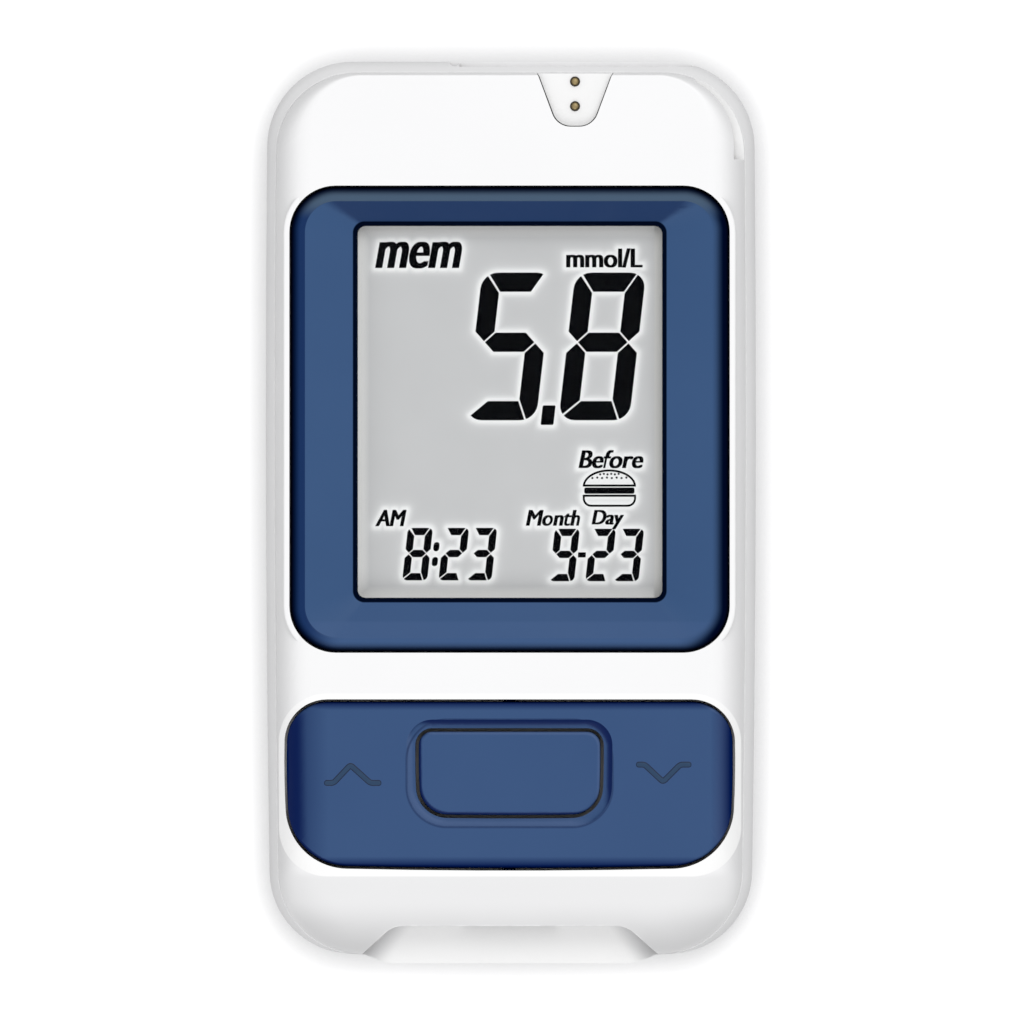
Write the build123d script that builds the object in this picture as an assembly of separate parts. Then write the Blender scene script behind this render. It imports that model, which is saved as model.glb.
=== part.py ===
from build123d import *
from math import cos, pi, radians, sin
import os

# Blood glucose meter with a test-strip port at one end and a two-pin data port at the other.
# It lies on its back: display up (+Z), data port towards +Y, strip port towards -Y.
# Millimetres. The origin is the centre of the footprint, on the ground.

os.makedirs("parts", exist_ok=True)

# ---------------------------------------------------------------- overall size
overall_length = 92.9
overall_width = 50.5
overall_height = 15.6
lip_reach = 0.55                      # how far the strip landing stands out past the bottom edge
half_width = overall_width / 2
top_y = overall_length / 2
lip_y = -overall_length / 2
bottom_y = lip_y + lip_reach

# plan of the casing: long sides and bottom edge are shallow arcs
widest_y = 10.0
side_bow_radius = 2900.0
bottom_bow = 0.85
top_corner_radius = 8.8
bottom_corner_radius = 8.5

# ---------------------------------------------------------------- levels
# display, keys and board hang from the front face, and the cells lie on the back
front_height = 5.2                    # front casing, above the joint
shoulder_height = 2.8                 # rear shoulder, between the belt and the joint
board_drop = 2.0                      # joint down to the board
board_thickness = 0.8
shelf_drop = 2.55                     # front face down to the display shelf
shelf_thickness = 1.05
well_depth = 2.9                      # front face down to the floor of the key well
ceiling_drop = 1.5                    # front face down to the inside of the front wall
rear_edge_radius = 3.6
parting_z = overall_height - front_height
belt_top_z = parting_z - shoulder_height
board_top_z = parting_z - board_drop
board_bottom_z = board_top_z - board_thickness
shelf_top_z = overall_height - shelf_drop
shelf_bottom_z = shelf_top_z - shelf_thickness
well_floor_z = overall_height - well_depth
ceiling_z = overall_height - ceiling_drop
above_z = overall_height + 1.4        # top of every cut that is open upwards

# ---------------------------------------------------------------- plan layout
side_border = 2.7                     # white border beside the display bezel
top_border = 12.95                    # top edge of the casing to the bezel
bezel_rise = 31.55                    # bottom edge of the casing to the bezel
panel_border = 2.3                    # white border beside the key panel
panel_rise = 9.3                      # bottom edge to the key panel
panel_length = 17.11
key_rise = 19.05                      # bottom edge to the keys' centre line
cell_drop = 2.575                     # centre of the display down to the cells' centres
bezel_half = half_width - side_border
bezel_high_y = top_y - top_border
bezel_low_y = bottom_y + bezel_rise
bezel_y = (bezel_high_y + bezel_low_y) / 2
bezel_length = bezel_high_y - bezel_low_y
panel_half = half_width - panel_border
panel_low_y = bottom_y + panel_rise
panel_high_y = panel_low_y + panel_length
key_y = bottom_y + key_rise

# ---------------------------------------------------------------- walls and clearances
rear_floor = 1.6
side_wall = 2.2
front_wall = 1.4
seam_step_side = 0.93                 # front casing sits back from the belt by this much
seam_step_top = 1.1
seam_gap = 0.05
fit_gap = 0.1                         # between fixed pieces
key_gap = 0.25                        # round the rocker key
button_gap = 0.35                     # round the main button
pivot_gap = 0.06                      # radial, round the rocker's trunnions


def arc_sag(distance, radius):
    return distance * distance / (2 * radius)


def level(sketch, z):
    return Pos(0, 0, z) * sketch


def prism(sketch, z_low, z_high):
    return extrude(Pos(0, 0, z_low) * sketch, z_high - z_low)


def block(x_low, x_high, y_low, y_high, z_low, z_high):
    centre = ((x_low + x_high) / 2, (y_low + y_high) / 2, (z_low + z_high) / 2)
    return Pos(*centre) * Box(x_high - x_low, y_high - y_low, z_high - z_low)


def rod(x, y, z_low, z_high, radius):
    return Pos(x, y, (z_low + z_high) / 2) * Cylinder(radius, z_high - z_low)


def bowed_plan(edge_top, edge_mid, edge_bottom, bottom_mid_y, top_radius, bottom_radius):
    # closed plan, symmetric about x = 0, from its right-hand points
    # edge_top, edge_mid and edge_bottom are (x, y) down the right side
    top_left = (-edge_top[0], edge_top[1])
    mid_left = (-edge_mid[0], edge_mid[1])
    bottom_left = (-edge_bottom[0], edge_bottom[1])
    border = [
        Line(top_left, edge_top),
        ThreePointArc(edge_top, edge_mid, edge_bottom),
        ThreePointArc(edge_bottom, (0, bottom_mid_y), bottom_left),
        ThreePointArc(bottom_left, mid_left, top_left),
    ]
    plan = make_face(border)
    plan = fillet(plan.vertices().group_by(Axis.Y)[-1], top_radius)
    plan = fillet(plan.vertices().group_by(Axis.Y)[0], bottom_radius)
    return plan


def casing_plan(side, top, bottom, top_radius, bottom_radius):
    # casing outline moved inwards by side, top and bottom
    high = top_y - top
    low = bottom_y + bottom_bow + bottom
    x_high = half_width - arc_sag(high - widest_y, side_bow_radius) - side
    x_low = half_width - arc_sag(widest_y - low, side_bow_radius) - side
    return bowed_plan(
        (x_high, high),
        (half_width - side, widest_y),
        (x_low, low),
        bottom_y + bottom,
        top_radius,
        bottom_radius,
    )


# ================================================================ rear casing
shoulder_steps = [0, 0.25, 0.5, 0.75, 1.0]
belt = prism(casing_plan(0, 0, 0, top_corner_radius, bottom_corner_radius), 0, belt_top_z)
belt = fillet(belt.edges().group_by(Axis.Z)[0], rear_edge_radius)


def shoulder_section(t):
    # the belt turns in towards the seam, except at the bottom edge
    turn = t * t
    plan = casing_plan(
        seam_step_side * turn,
        seam_step_top * turn,
        0,
        top_corner_radius - 0.5 * turn,
        bottom_corner_radius,
    )
    return level(plan, belt_top_z + (parting_z - belt_top_z) * t).face()


rear_outer = belt + loft([shoulder_section(t) for t in shoulder_steps])

# landing under the strip port: a shallow bulge past the bottom edge
landing_half = 12.9
landing_root_half = 15.9
landing_low_z = belt_top_z - 3.4
landing_full_z = belt_top_z + 0.4
landing_plan = make_face(
    Polyline(
        (-landing_root_half, bottom_y + 0.7),
        (-landing_half, lip_y),
        (landing_half, lip_y),
        (landing_root_half, bottom_y + 0.7),
        (landing_root_half, bottom_y + 3),
        (-landing_root_half, bottom_y + 3),
        close=True,
    )
)
landing_plan = fillet(landing_plan.vertices().group_by(Axis.Y)[0], 5.0)
landing = prism(landing_plan, landing_full_z, parting_z)
landing_toe = Pos(0, lip_reach + 0.1, 0) * landing_plan
landing += loft([level(landing_toe, landing_low_z).face(), level(landing_plan, landing_full_z).face()])

# scoop at the strip port, cut through the front casing down to the landing
scoop_top_half = 12.0
scoop_high_y = bottom_y + 3.35


def scoop_plan(grow):
    plan = make_face(
        Polyline(
            (-scoop_top_half - grow, scoop_high_y + grow),
            (scoop_top_half + grow, scoop_high_y + grow),
            (landing_root_half + grow, bottom_y - 0.2),
            (landing_root_half + grow, lip_y - 2),
            (-landing_root_half - grow, lip_y - 2),
            (-landing_root_half - grow, bottom_y - 0.2),
            close=True,
        )
    )
    return fillet(plan.vertices().group_by(Axis.Y)[-1], 2.8 + grow)


# floor of the scoop, from the landing to under the front casing, rolled down at both flanks
scoop_lap = 0.8
scoop_floor_thickness = 1.2
flank_half = 12.3
flank_roll_radius = 5.5
scoop_floor = prism(scoop_plan(scoop_lap), parting_z - scoop_floor_thickness, parting_z)
flank_profile = Pos(0, parting_z - flank_roll_radius) * Rectangle(2 * flank_half, 2 * flank_roll_radius)
for side in (-1, 1):
    flank_profile += Pos(side * flank_half, parting_z - flank_roll_radius) * Circle(flank_roll_radius)
flank_crown = Pos(0, bottom_y, 0) * extrude(Plane.XZ * flank_profile, 8, both=True)
flank_cut = prism(scoop_plan(0), parting_z - 2, above_z) - flank_crown

rear_inner_plan = casing_plan(side_wall, side_wall, side_wall, 6.6, 6.3)
rear_inner = prism(rear_inner_plan, rear_floor, parting_z)
rear_inner = fillet(rear_inner.edges().group_by(Axis.Z)[0], 1.8)

# battery compartment: two cells side by side, and what height is left is shared round them
cell_radius = 10.0
cell_thickness = 3.2
cell_half_gap = 0.35
pocket_gap = 0.4
pocket_wall = 1.0
finger_half = 6.5
cover_thickness = 1.2
cell_x = cell_radius + cell_half_gap
cell_y = bezel_y - cell_drop
cell_spare = board_bottom_z - cover_thickness - cell_thickness
cell_low_z = cover_thickness + 0.25 * cell_spare
cell_high_z = cell_low_z + cell_thickness
pocket_radius = cell_radius + pocket_gap
pocket_roof_z = cell_high_z + 0.25 * cell_spare
pocket_top_z = board_bottom_z - 0.22 * cell_spare
root_z = 0.5                          # inner walls start inside the rear floor


def pocket_plan(grow):
    cells = Pos(-cell_x, cell_y) * Circle(pocket_radius + grow)
    cells += Pos(cell_x, cell_y) * Circle(pocket_radius + grow)
    cells += Pos(0, cell_y) * Rectangle(2 * cell_x, 2 * (finger_half + grow))
    return cells


# battery cover plan: hooked end at the top, latch at the bottom
cover_lap_side = 0.45                 # cover past the pocket
cover_lap_top = 1.2
cover_lap_bottom = 3.0
cover_gap = 0.15
cover_half = cell_x + pocket_radius + cover_lap_side
cover_top_y = cell_y + pocket_radius + cover_lap_top
cover_low_y = cell_y - pocket_radius - cover_lap_bottom
cover_ledge = 1.0
ledge_top_z = cover_thickness + cover_ledge


def cover_plan(grow):
    centre_y = (cover_top_y + cover_low_y) / 2
    length = cover_top_y - cover_low_y
    plan = Rectangle(2 * (cover_half + grow), length + 2 * grow)
    return Pos(0, centre_y) * fillet(plan.vertices(), 2.0 + grow)


# niches for the contacts that press on the rims of the cells
niche_half = 2.6
niche_low_y = cell_y - cell_radius - 1.7
niche_high_y = cell_y - cell_radius + 1.0

# screw posts
upper_screw_x = half_width - 6.65
lower_screw_x = half_width - 6.45
upper_screw_y = top_y - 6.85
lower_screw_y = bottom_y + 9.3
screw_places = [
    (-upper_screw_x, upper_screw_y),
    (upper_screw_x, upper_screw_y),
    (-lower_screw_x, lower_screw_y),
    (lower_screw_x, lower_screw_y),
]
post_radius = 2.7
post_top_z = board_bottom_z - 0.4
counterbore_radius = 2.05
counterbore_z = 3.4
screw_hole_radius = 1.15

works = prism(cover_plan(cover_ledge), root_z, ledge_top_z)
works += prism(pocket_plan(pocket_wall), root_z, pocket_top_z)
for x, y in screw_places:
    works += rod(x, y, root_z, post_top_z, post_radius)
for side in (-1, 1):
    x = side * cell_x
    works += block(
        x - niche_half - pocket_wall,
        x + niche_half + pocket_wall,
        niche_low_y - 0.9 * pocket_wall,
        niche_high_y,
        root_z,
        pocket_top_z,
    )
rear = rear_outer + landing - rear_inner
rear += scoop_floor & rear_outer
rear -= flank_cut
rear += works & rear_outer

# openings
rear -= prism(cover_plan(cover_gap), -1, cover_thickness)
rear -= prism(pocket_plan(0), 0, pocket_roof_z)
for side in (-1, 1):
    x = side * cell_x
    rear -= block(x - niche_half, x + niche_half, niche_low_y, niche_high_y, cover_thickness, board_top_z)
for x, y in screw_places:
    rear -= rod(x, y, -1, counterbore_z, counterbore_radius)
    rear -= rod(x, y, 0, board_top_z, screw_hole_radius)

# slots in the roof for the upper contacts
upper_slot_y = cell_y + cell_radius - 1.8
for side in (-1, 1):
    x = side * cell_x
    rear -= block(x - 2.4, x + 2.4, upper_slot_y - 0.6, upper_slot_y + 0.6, pocket_roof_z - 1, board_top_z)

# hook pockets in the ledge, under which the cover's two hooks turn
hook_x = 13.0
hook_half = 3.0
hook_reach = 1.5
for side in (-1, 1):
    x = side * hook_x
    rear -= block(
        x - hook_half - 0.3,
        x + hook_half + 0.3,
        cover_top_y - 2.6,
        cover_top_y + hook_reach + 0.4,
        cover_thickness - 0.05,
        cover_thickness + 2.2,
    )

# latch notch at the other end of the cover, behind the outer edge
latch_half = 5.0
latch_notch_half = latch_half + 0.3
notch_top_z = cover_thickness + 1.8
rear -= block(
    -latch_notch_half, latch_notch_half, cover_low_y - cover_gap, cover_low_y + 2.2, -1, notch_top_z
)

# cable-clip recess in the rim beside the data port, with its locating notch
data_x = 6.73
clip_half = 12.0
clip_depth = 0.55
clip_low_z = belt_top_z - 3.0
clip_plan = Pos(data_x, top_y) * Rectangle(2 * clip_half, 2 * clip_depth)
rear -= prism(clip_plan, clip_low_z, parting_z + 1)
rear -= rod(data_x - clip_half - 0.5, top_y + 0.05, clip_low_z, parting_z + 1, 0.55)

# sound holes over the buzzer
buzzer_x = -9.5
buzzer_y = top_y - 15.45
for step in range(5):
    rear -= rod(buzzer_x + (step - 2) * 1.7, buzzer_y, -1, rear_floor + 1, 0.45)

# pegs under the board
peg_radius = 1.3
peg_places = [(0, top_y - 5.95)]
for side in (-1, 1):
    peg_places.append((side * (half_width - 5.95), cover_top_y + 8.4))
    peg_places.append((side * (half_width - 4.95), cover_low_y - 2.1))
    peg_places.append((side * 11.5, bottom_y + 9.4))
for x, y in peg_places:
    rear += rod(x, y, root_z, board_bottom_z, peg_radius)
rear_casing = rear
export_step(rear_casing, "parts/rear_casing.step")

# ================================================================ front casing
side_round = 3.67                     # how far the side rolls in above the seam
top_round = 0.4
bottom_round = 7.7
front_angles = [0, 14, 28, 42, 55, 67, 78, 90]


def front_section(angle):
    # quarter-ellipse roll, long at the bottom edge and steep at the top edge
    roll = 1 - cos(radians(angle))
    plan = casing_plan(
        seam_step_side + seam_gap + side_round * roll,
        seam_step_top + seam_gap + top_round * roll,
        seam_gap + bottom_round * roll,
        8.3 - 3.0 * roll,
        8.5 - 3.0 * roll,
    )
    return level(plan, parting_z + front_height * sin(radians(angle))).face()


front_outer = loft([front_section(angle) for angle in front_angles])

# display bezel seat
bezel_radius = 4.7
bead_width = 0.75
rim_drop = 0.25                       # front face down to the bezel's rim and the bead round it
rim_z = overall_height - rim_drop


def bezel_plan(grow):
    plan = Rectangle(2 * (bezel_half + grow), bezel_length + 2 * grow)
    return Pos(0, bezel_y) * fillet(plan.vertices(), bezel_radius + grow)


# display window, and the lens opening below the bezel
window_half = bezel_half - 6.8
window_high_y = bezel_high_y - 3.96
window_low_y = bezel_low_y + 5.47
window_y = (window_high_y + window_low_y) / 2
lens_half = window_half + 2.55
lens_high_y = window_high_y + 2.76
lens_low_y = window_low_y - 2.72
lens_y = (lens_high_y + lens_low_y) / 2
lens_length = lens_high_y - lens_low_y


def lens_plan(grow):
    plan = Rectangle(2 * (lens_half + grow), lens_length + 2 * grow)
    return Pos(0, lens_y) * fillet(plan.vertices(), 1.0 + grow)


# key panel, main button and the dished ring between them
button_half = 9.33
button_rise = 4.29                    # half of the button's length
ring_width = 1.25


def panel_plan(grow):
    return bowed_plan(
        (panel_half - 0.2 + grow, panel_high_y + grow),
        (panel_half + grow, key_y + 1.35),
        (panel_half - 0.6 + grow, panel_low_y + 0.35 - grow),
        panel_low_y - grow,
        4.2 + grow,
        6.2 + grow,
    )


def button_plan(grow):
    return bowed_plan(
        (button_half - 0.03 + grow, key_y + button_rise + grow),
        (button_half + grow, key_y),
        (button_half - 0.23 + grow, key_y - button_rise + 0.09 - grow),
        key_y - button_rise - grow,
        1.4 + grow,
        2.9 + grow,
    )


# data-port notch: a rounded V open at the top edge of the face
notch_mouth_half = 3.65
notch_foot_half = 1.75
notch_low_y = top_y - 6.7
notch_mouth_y = top_y - 1.65
notch_floor_z = overall_height - 1.7


def notch_plan(grow):
    high = top_y + 1
    plan = make_face(
        Polyline(
            (data_x - notch_mouth_half - 1.5 - grow, high),
            (data_x - notch_mouth_half - grow, notch_mouth_y),
            (data_x - notch_foot_half - grow, notch_low_y - grow),
            (data_x + notch_foot_half + grow, notch_low_y - grow),
            (data_x + notch_mouth_half + grow, notch_mouth_y),
            (data_x + notch_mouth_half + 1.5 + grow, high),
            close=True,
        )
    )
    return fillet(plan.vertices().group_by(Axis.Y)[0], 1.9 + grow)


# strip slot
slot_half = 4.8
slot_low_z = parting_z + 0.1
slot_high_z = slot_low_z + 0.9

collar = prism(bezel_plan(bead_width), shelf_top_z - 0.05, rim_z)
collar = fillet(collar.edges().group_by(Axis.Z)[-1], 0.3)
front = front_outer + collar

# hollow, with even walls round the seats
inner_side = seam_step_side + front_wall
front_inner_plan = casing_plan(inner_side + 0.1, seam_step_top + front_wall, front_wall + 0.9, 6.4, 6.3)
hollow = prism(front_inner_plan, parting_z, shelf_bottom_z)
hollow -= prism(scoop_plan(front_wall), parting_z, above_z)
top_attic_half = half_width - 6.05
middle_attic_half = half_width - 5.75
attic_low_z = shelf_bottom_z - 0.1
top_attic = block(
    -top_attic_half, top_attic_half, bezel_high_y + 1.2, top_y - 2.9, attic_low_z, ceiling_z
)
top_attic = fillet(top_attic.edges().filter_by(Axis.Z).group_by(Axis.Y)[-1], 3.5)
middle_attic = block(
    -middle_attic_half, middle_attic_half, panel_high_y + 1.5, bezel_low_y - 1.25, attic_low_z, ceiling_z
)
hollow += top_attic + middle_attic
front -= hollow

# bezel seat, lens opening, key well
below_shelf_z = shelf_bottom_z - 1    # foot of every cut through the shelf and the well floor
front -= prism(bezel_plan(fit_gap), shelf_top_z, above_z)
front -= prism(lens_plan(fit_gap), below_shelf_z, above_z)
front -= prism(panel_plan(key_gap), well_floor_z, above_z)

# windows in the well floor: side posts, main post and the button's snap legs
side_key_x = panel_half - 6.95
side_post_radius = 1.5
main_post_radius = 2.0
leg_x = 7.6
leg_thickness = 1.0
leg_half = 1.5
leg_gap = 0.15
for side in (-1, 1):
    front -= rod(side * side_key_x, key_y, below_shelf_z, ceiling_z, side_post_radius + 0.6)
    inner_x = side * (leg_x - leg_thickness / 2 - 0.8)
    outer_x = side * (leg_x + leg_thickness / 2 + leg_gap)
    front -= block(
        min(inner_x, outer_x),
        max(inner_x, outer_x),
        key_y - leg_half - leg_gap,
        key_y + leg_half + leg_gap,
        below_shelf_z,
        ceiling_z,
    )
front -= rod(0, key_y, below_shelf_z, ceiling_z, main_post_radius + 0.3)

# trunnion sockets in both ends of the well, open towards the inside for assembly
pivot_z = overall_height - 1.4
trunnion_radius = 0.6
trunnion_reach = 0.65
socket_radius = trunnion_radius + pivot_gap
socket_depth = trunnion_reach + key_gap + 0.1
for end_y, sign in ((panel_high_y, 1), (panel_low_y, -1)):
    y_start = end_y - sign * 0.5
    y_end = end_y + sign * socket_depth
    socket = Rot(90, 0, 0) * Cylinder(socket_radius, abs(y_end - y_start))
    socket = Pos(0, (y_start + y_end) / 2, pivot_z) * socket
    channel = block(-0.45, 0.45, min(y_start, y_end), max(y_start, y_end), well_floor_z, pivot_z)
    front -= socket + channel

# data port: V notch in the face, block seat below it
front -= prism(notch_plan(fit_gap), notch_floor_z, above_z)
seat_half = 2.6
seat_low_y = top_y - 5.85
seat_high_y = top_y - 1.6
seat_low_z = notch_floor_z - 1.4
front -= block(
    data_x - seat_half - fit_gap,
    data_x + seat_half + fit_gap,
    seat_low_y - fit_gap,
    seat_high_y,
    seat_low_z - fit_gap,
    ceiling_z,
)

# strip port
front -= prism(scoop_plan(0), parting_z - 1, above_z)
front -= block(-slot_half, slot_half, scoop_high_y - 1, scoop_high_y + 3, slot_low_z, slot_high_z)

# cut-back ledge round the upper right corner, along the seam
ledge_width = 1.0
ledge_z = parting_z + 0.9


def ledge_limit():
    # a band just inside the outline, kept between two rays from the corner's centre
    ring = casing_plan(0, 0, 0, 8.3, 8.5) - casing_plan(
        seam_step_side + ledge_width + 0.15,
        seam_step_top + 0.35 * ledge_width,
        0,
        7.0,
        7.5,
    )
    out_x = half_width + 3
    out_y = top_y + 3.55
    low_y = top_y - 10.15
    window = make_face(
        Polyline(
            (half_width - 7.25, out_y),
            (half_width - 5.85, top_y - 3.45),
            (half_width - 4.75, low_y),
            (out_x, low_y),
            (out_x, out_y),
            close=True,
        )
    )
    return ring & window


front -= prism(ledge_limit(), ledge_z, above_z)

# tongue that locates the front casing inside the rear one
tongue_plan = casing_plan(side_wall + 0.1, side_wall + 0.1, side_wall + 0.1, 6.5, 6.2)
tongue_plan -= casing_plan(side_wall + 0.8, side_wall + 0.8, side_wall + 0.8, 5.8, 5.5)
tongue = prism(tongue_plan, parting_z - 0.9, parting_z + 0.6)
tongue -= block(-14, 14, bottom_y, bottom_y + 5, parting_z - 2, parting_z + 2)
front += tongue - prism(scoop_plan(scoop_lap + 0.15), parting_z - 2, above_z)

# screw bosses
boss_radius = 2.2
pilot_radius = 0.95
for x, y in screw_places:
    top_z = ceiling_z if y > 0 else shelf_bottom_z + 0.2
    front += rod(x, y, post_top_z, top_z, boss_radius)
    front -= rod(x, y, post_top_z - 1, shelf_bottom_z - 0.4, pilot_radius)
front_casing = front
export_step(front_casing, "parts/front_casing.step")

# ================================================================ display
# bezel: a dished frame, rolled at the rim, sloping down to a sharp window
window_edge_z = shelf_top_z + 0.7
rim_width = 1.4
rim_roll = 1.0


def window_plan(grow):
    plan = Rectangle(2 * (window_half + grow), window_high_y - window_low_y + 2 * grow)
    return Pos(0, window_y) * fillet(plan.vertices(), 0.9 + grow)


dish = loft(
    [level(window_plan(0), window_edge_z).face(), level(bezel_plan(-rim_width), rim_z).face()],
    ruled=True,
)
bezel = prism(bezel_plan(0), shelf_top_z, rim_z)
bezel = fillet(bezel.edges().group_by(Axis.Z)[-1], rim_roll)
bezel -= dish
bezel -= prism(window_plan(0), shelf_bottom_z, window_edge_z + 0.25)
display_bezel = bezel
export_step(display_bezel, "parts/display_bezel.step")

lens_thickness = 0.8
lens_top_z = shelf_top_z
lens = prism(lens_plan(0), lens_top_z - lens_thickness, lens_top_z)
display_lens = chamfer(lens.edges().group_by(Axis.Z)[0], 0.15)
export_step(display_lens, "parts/display_lens.step")

# liquid-crystal cell
glass_half = lens_half - fit_gap
glass_high_y = lens_high_y - 0.7
front_glass_low_y = lens_low_y - 1.0
rear_glass_low_y = lens_low_y + 2.1
glass_thickness = 0.7
polarizer_thickness = 0.15
front_glass_top_z = shelf_bottom_z - polarizer_thickness
front_glass_low_z = front_glass_top_z - glass_thickness
rear_glass_low_z = front_glass_low_z - glass_thickness
reflector_low_z = rear_glass_low_z - polarizer_thickness

lcd_front_glass = block(
    -glass_half, glass_half, front_glass_low_y, glass_high_y, front_glass_low_z, front_glass_top_z
)
lcd_front_glass = chamfer(lcd_front_glass.edges().filter_by(Axis.Z), 0.4)
lcd_rear_glass = block(
    -glass_half, glass_half, rear_glass_low_y, glass_high_y, rear_glass_low_z, front_glass_low_z
)
lcd_rear_glass = chamfer(lcd_rear_glass.edges().filter_by(Axis.Z), 0.4)
film_half = glass_half - 0.7
film_low_y = rear_glass_low_y + 0.4
film_high_y = glass_high_y - 0.5
lcd_polarizer = block(
    -film_half,
    film_half,
    film_low_y,
    film_high_y,
    front_glass_top_z,
    front_glass_top_z + polarizer_thickness,
)
lcd_reflector = block(-film_half, film_half, film_low_y, film_high_y, reflector_low_z, rear_glass_low_z)
export_step(lcd_front_glass, "parts/lcd_front_glass.step")
export_step(lcd_rear_glass, "parts/lcd_rear_glass.step")
export_step(lcd_polarizer, "parts/lcd_polarizer.step")
export_step(lcd_reflector, "parts/lcd_reflector.step")

# frame that carries the cell on the board
holder_wall = 1.3
holder_half = glass_half + fit_gap + holder_wall
holder_high_y = glass_high_y + fit_gap + holder_wall
holder_low_y = front_glass_low_y - holder_wall
holder_floor_low_z = reflector_low_z - 0.8
strip_width = 1.8
strip_half = glass_half - 2.7
strip_low_y = front_glass_low_y + 0.4
strip_high_y = strip_low_y + strip_width
holder = block(-holder_half, holder_half, holder_low_y, holder_high_y, board_top_z, shelf_bottom_z)
holder = fillet(holder.edges().filter_by(Axis.Z), 1.5)
holder -= block(
    -glass_half - fit_gap,
    glass_half + fit_gap,
    front_glass_low_y - fit_gap,
    glass_high_y + fit_gap,
    reflector_low_z,
    above_z,
)
holder -= block(
    -holder_half + 1.2,
    holder_half - 1.2,
    strip_high_y + 0.9,
    holder_high_y - 1.2,
    board_top_z - 1,
    holder_floor_low_z,
)
holder -= block(
    -strip_half - fit_gap,
    strip_half + fit_gap,
    strip_low_y - fit_gap,
    strip_high_y + fit_gap,
    board_top_z - 1,
    above_z,
)
opening_low_y = holder_low_y + 7.4
opening_high_y = holder_high_y - 4.5
rib_half = 1.25
for side in (-1, 1):
    # lightening openings on both sides of the cross rib
    for y_low, y_high in ((opening_low_y, bezel_y - rib_half), (bezel_y + rib_half, opening_high_y)):
        x_low = min(side * 2.0, side * (strip_half + 0.5))
        x_high = max(side * 2.0, side * (strip_half + 0.5))
        holder -= block(x_low, x_high, y_low, y_high, board_top_z, reflector_low_z + 0.1)
lcd_holder = holder
export_step(lcd_holder, "parts/lcd_holder.step")

lcd_connector_strip = block(
    -strip_half, strip_half, strip_low_y, strip_high_y, board_top_z, front_glass_low_z
)
lcd_connector_strip = fillet(lcd_connector_strip.edges().filter_by(Axis.X), 0.25)
export_step(lcd_connector_strip, "parts/lcd_connector_strip.step")

# ================================================================ keys
# rocker: a thin-walled plate that follows the casing's crown, dished round the main button
key_drop = 0.12
key_skin = 1.1
key_low_z = well_floor_z + 0.6
key_top_z = overall_height - key_drop
dish_depth = 0.5
plunger_top_z = shelf_bottom_z - 0.1


def under_crown(drop):
    return Pos(0, 0, -drop) * front_outer


key_root_z = key_low_z - 1
rocker = prism(panel_plan(0), key_low_z, above_z) & under_crown(key_drop)
upper_edges = [edge for edge in rocker.edges() if edge.center().Z > key_low_z + 0.45]
rim_edges = [edge for edge in upper_edges if edge.bounding_box().size.Z < 1.4]
rocker = fillet(rim_edges, 0.35)
rocker_core = prism(panel_plan(-key_skin), key_root_z, above_z) & under_crown(key_drop + key_skin)
rocker_core -= prism(button_plan(button_gap + 1.0), key_root_z, above_z)
for end_y, sign in ((panel_high_y, 1), (panel_low_y, -1)):
    inner_y = end_y - sign * 2.2
    rocker_core -= block(-1.5, 1.5, min(end_y, inner_y), max(end_y, inner_y), key_root_z, above_z)
rocker -= rocker_core
ring = loft(
    [
        level(button_plan(button_gap), key_top_z - dish_depth).face(),
        level(button_plan(0.5 * (button_gap + ring_width)), key_top_z - 0.75 * dish_depth).face(),
        level(button_plan(ring_width), key_top_z + 0.01).face(),
    ]
)
rocker -= ring
rocker -= prism(button_plan(button_gap), key_root_z, above_z)
for side in (-1, 1):
    rocker += rod(side * side_key_x, key_y, plunger_top_z, key_top_z - 0.8, side_post_radius)
for end_y, sign in ((panel_high_y, 1), (panel_low_y, -1)):
    y_start = end_y - sign * 0.8
    y_end = end_y + sign * trunnion_reach
    trunnion = Cylinder(trunnion_radius, abs(y_end - y_start))
    rocker += Pos(0, (y_start + y_end) / 2, pivot_z) * Rot(90, 0, 0) * trunnion
rocker_key = rocker
export_step(rocker_key, "parts/rocker_key.step")

# main button: slightly crowned cap, post over the switch, two snap legs through the well floor
button_low_z = well_floor_z + 0.35
button_top_z = overall_height - 0.1
button_skin = 1.0
crown_radius = 290.0
hook_gap = 0.05
barb_reach = 0.45
crown = Pos(0, key_y, button_top_z - crown_radius) * Rot(90, 0, 0) * Cylinder(crown_radius, 30)
button = prism(button_plan(0), button_low_z, above_z) & crown
button = fillet(button.edges().group_by(Axis.Z)[-1] + button.edges().group_by(Axis.Z)[-2], 0.4)
button -= prism(button_plan(-button_skin), button_low_z - 1, button_top_z - 1.3)
button += rod(0, key_y, plunger_top_z, button_top_z - 1, main_post_radius)
for side in (-1, 1):
    outer_x = side * (leg_x + leg_thickness / 2)
    inner_x = side * (leg_x - leg_thickness / 2)
    button += block(
        min(outer_x, inner_x),
        max(outer_x, inner_x),
        key_y - leg_half,
        key_y + leg_half,
        shelf_bottom_z - 0.6,
        button_top_z - 1,
    )
    barb_x = side * (leg_x + leg_thickness / 2 + leg_gap + barb_reach)
    barb = make_face(
        Polyline(
            (outer_x, shelf_bottom_z - 0.6),
            (barb_x, shelf_bottom_z - 0.25),
            (barb_x, shelf_bottom_z - hook_gap),
            (outer_x, shelf_bottom_z - hook_gap),
            close=True,
        )
    )
    barb = extrude(Plane.XZ * barb, leg_half, both=True)
    button += Pos(0, key_y, 0) * barb
main_button = button
export_step(main_button, "parts/main_button.step")


def strip_metal(points, bend, thickness, width, x):
    # flat spring strip: a bent path in the Y-Z plane, width along X
    path = FilletPolyline(*points, radius=bend)
    profile = trace(path, thickness)
    return Pos(x - width / 2, 0, 0) * extrude(Plane.YZ * profile, width)


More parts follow.
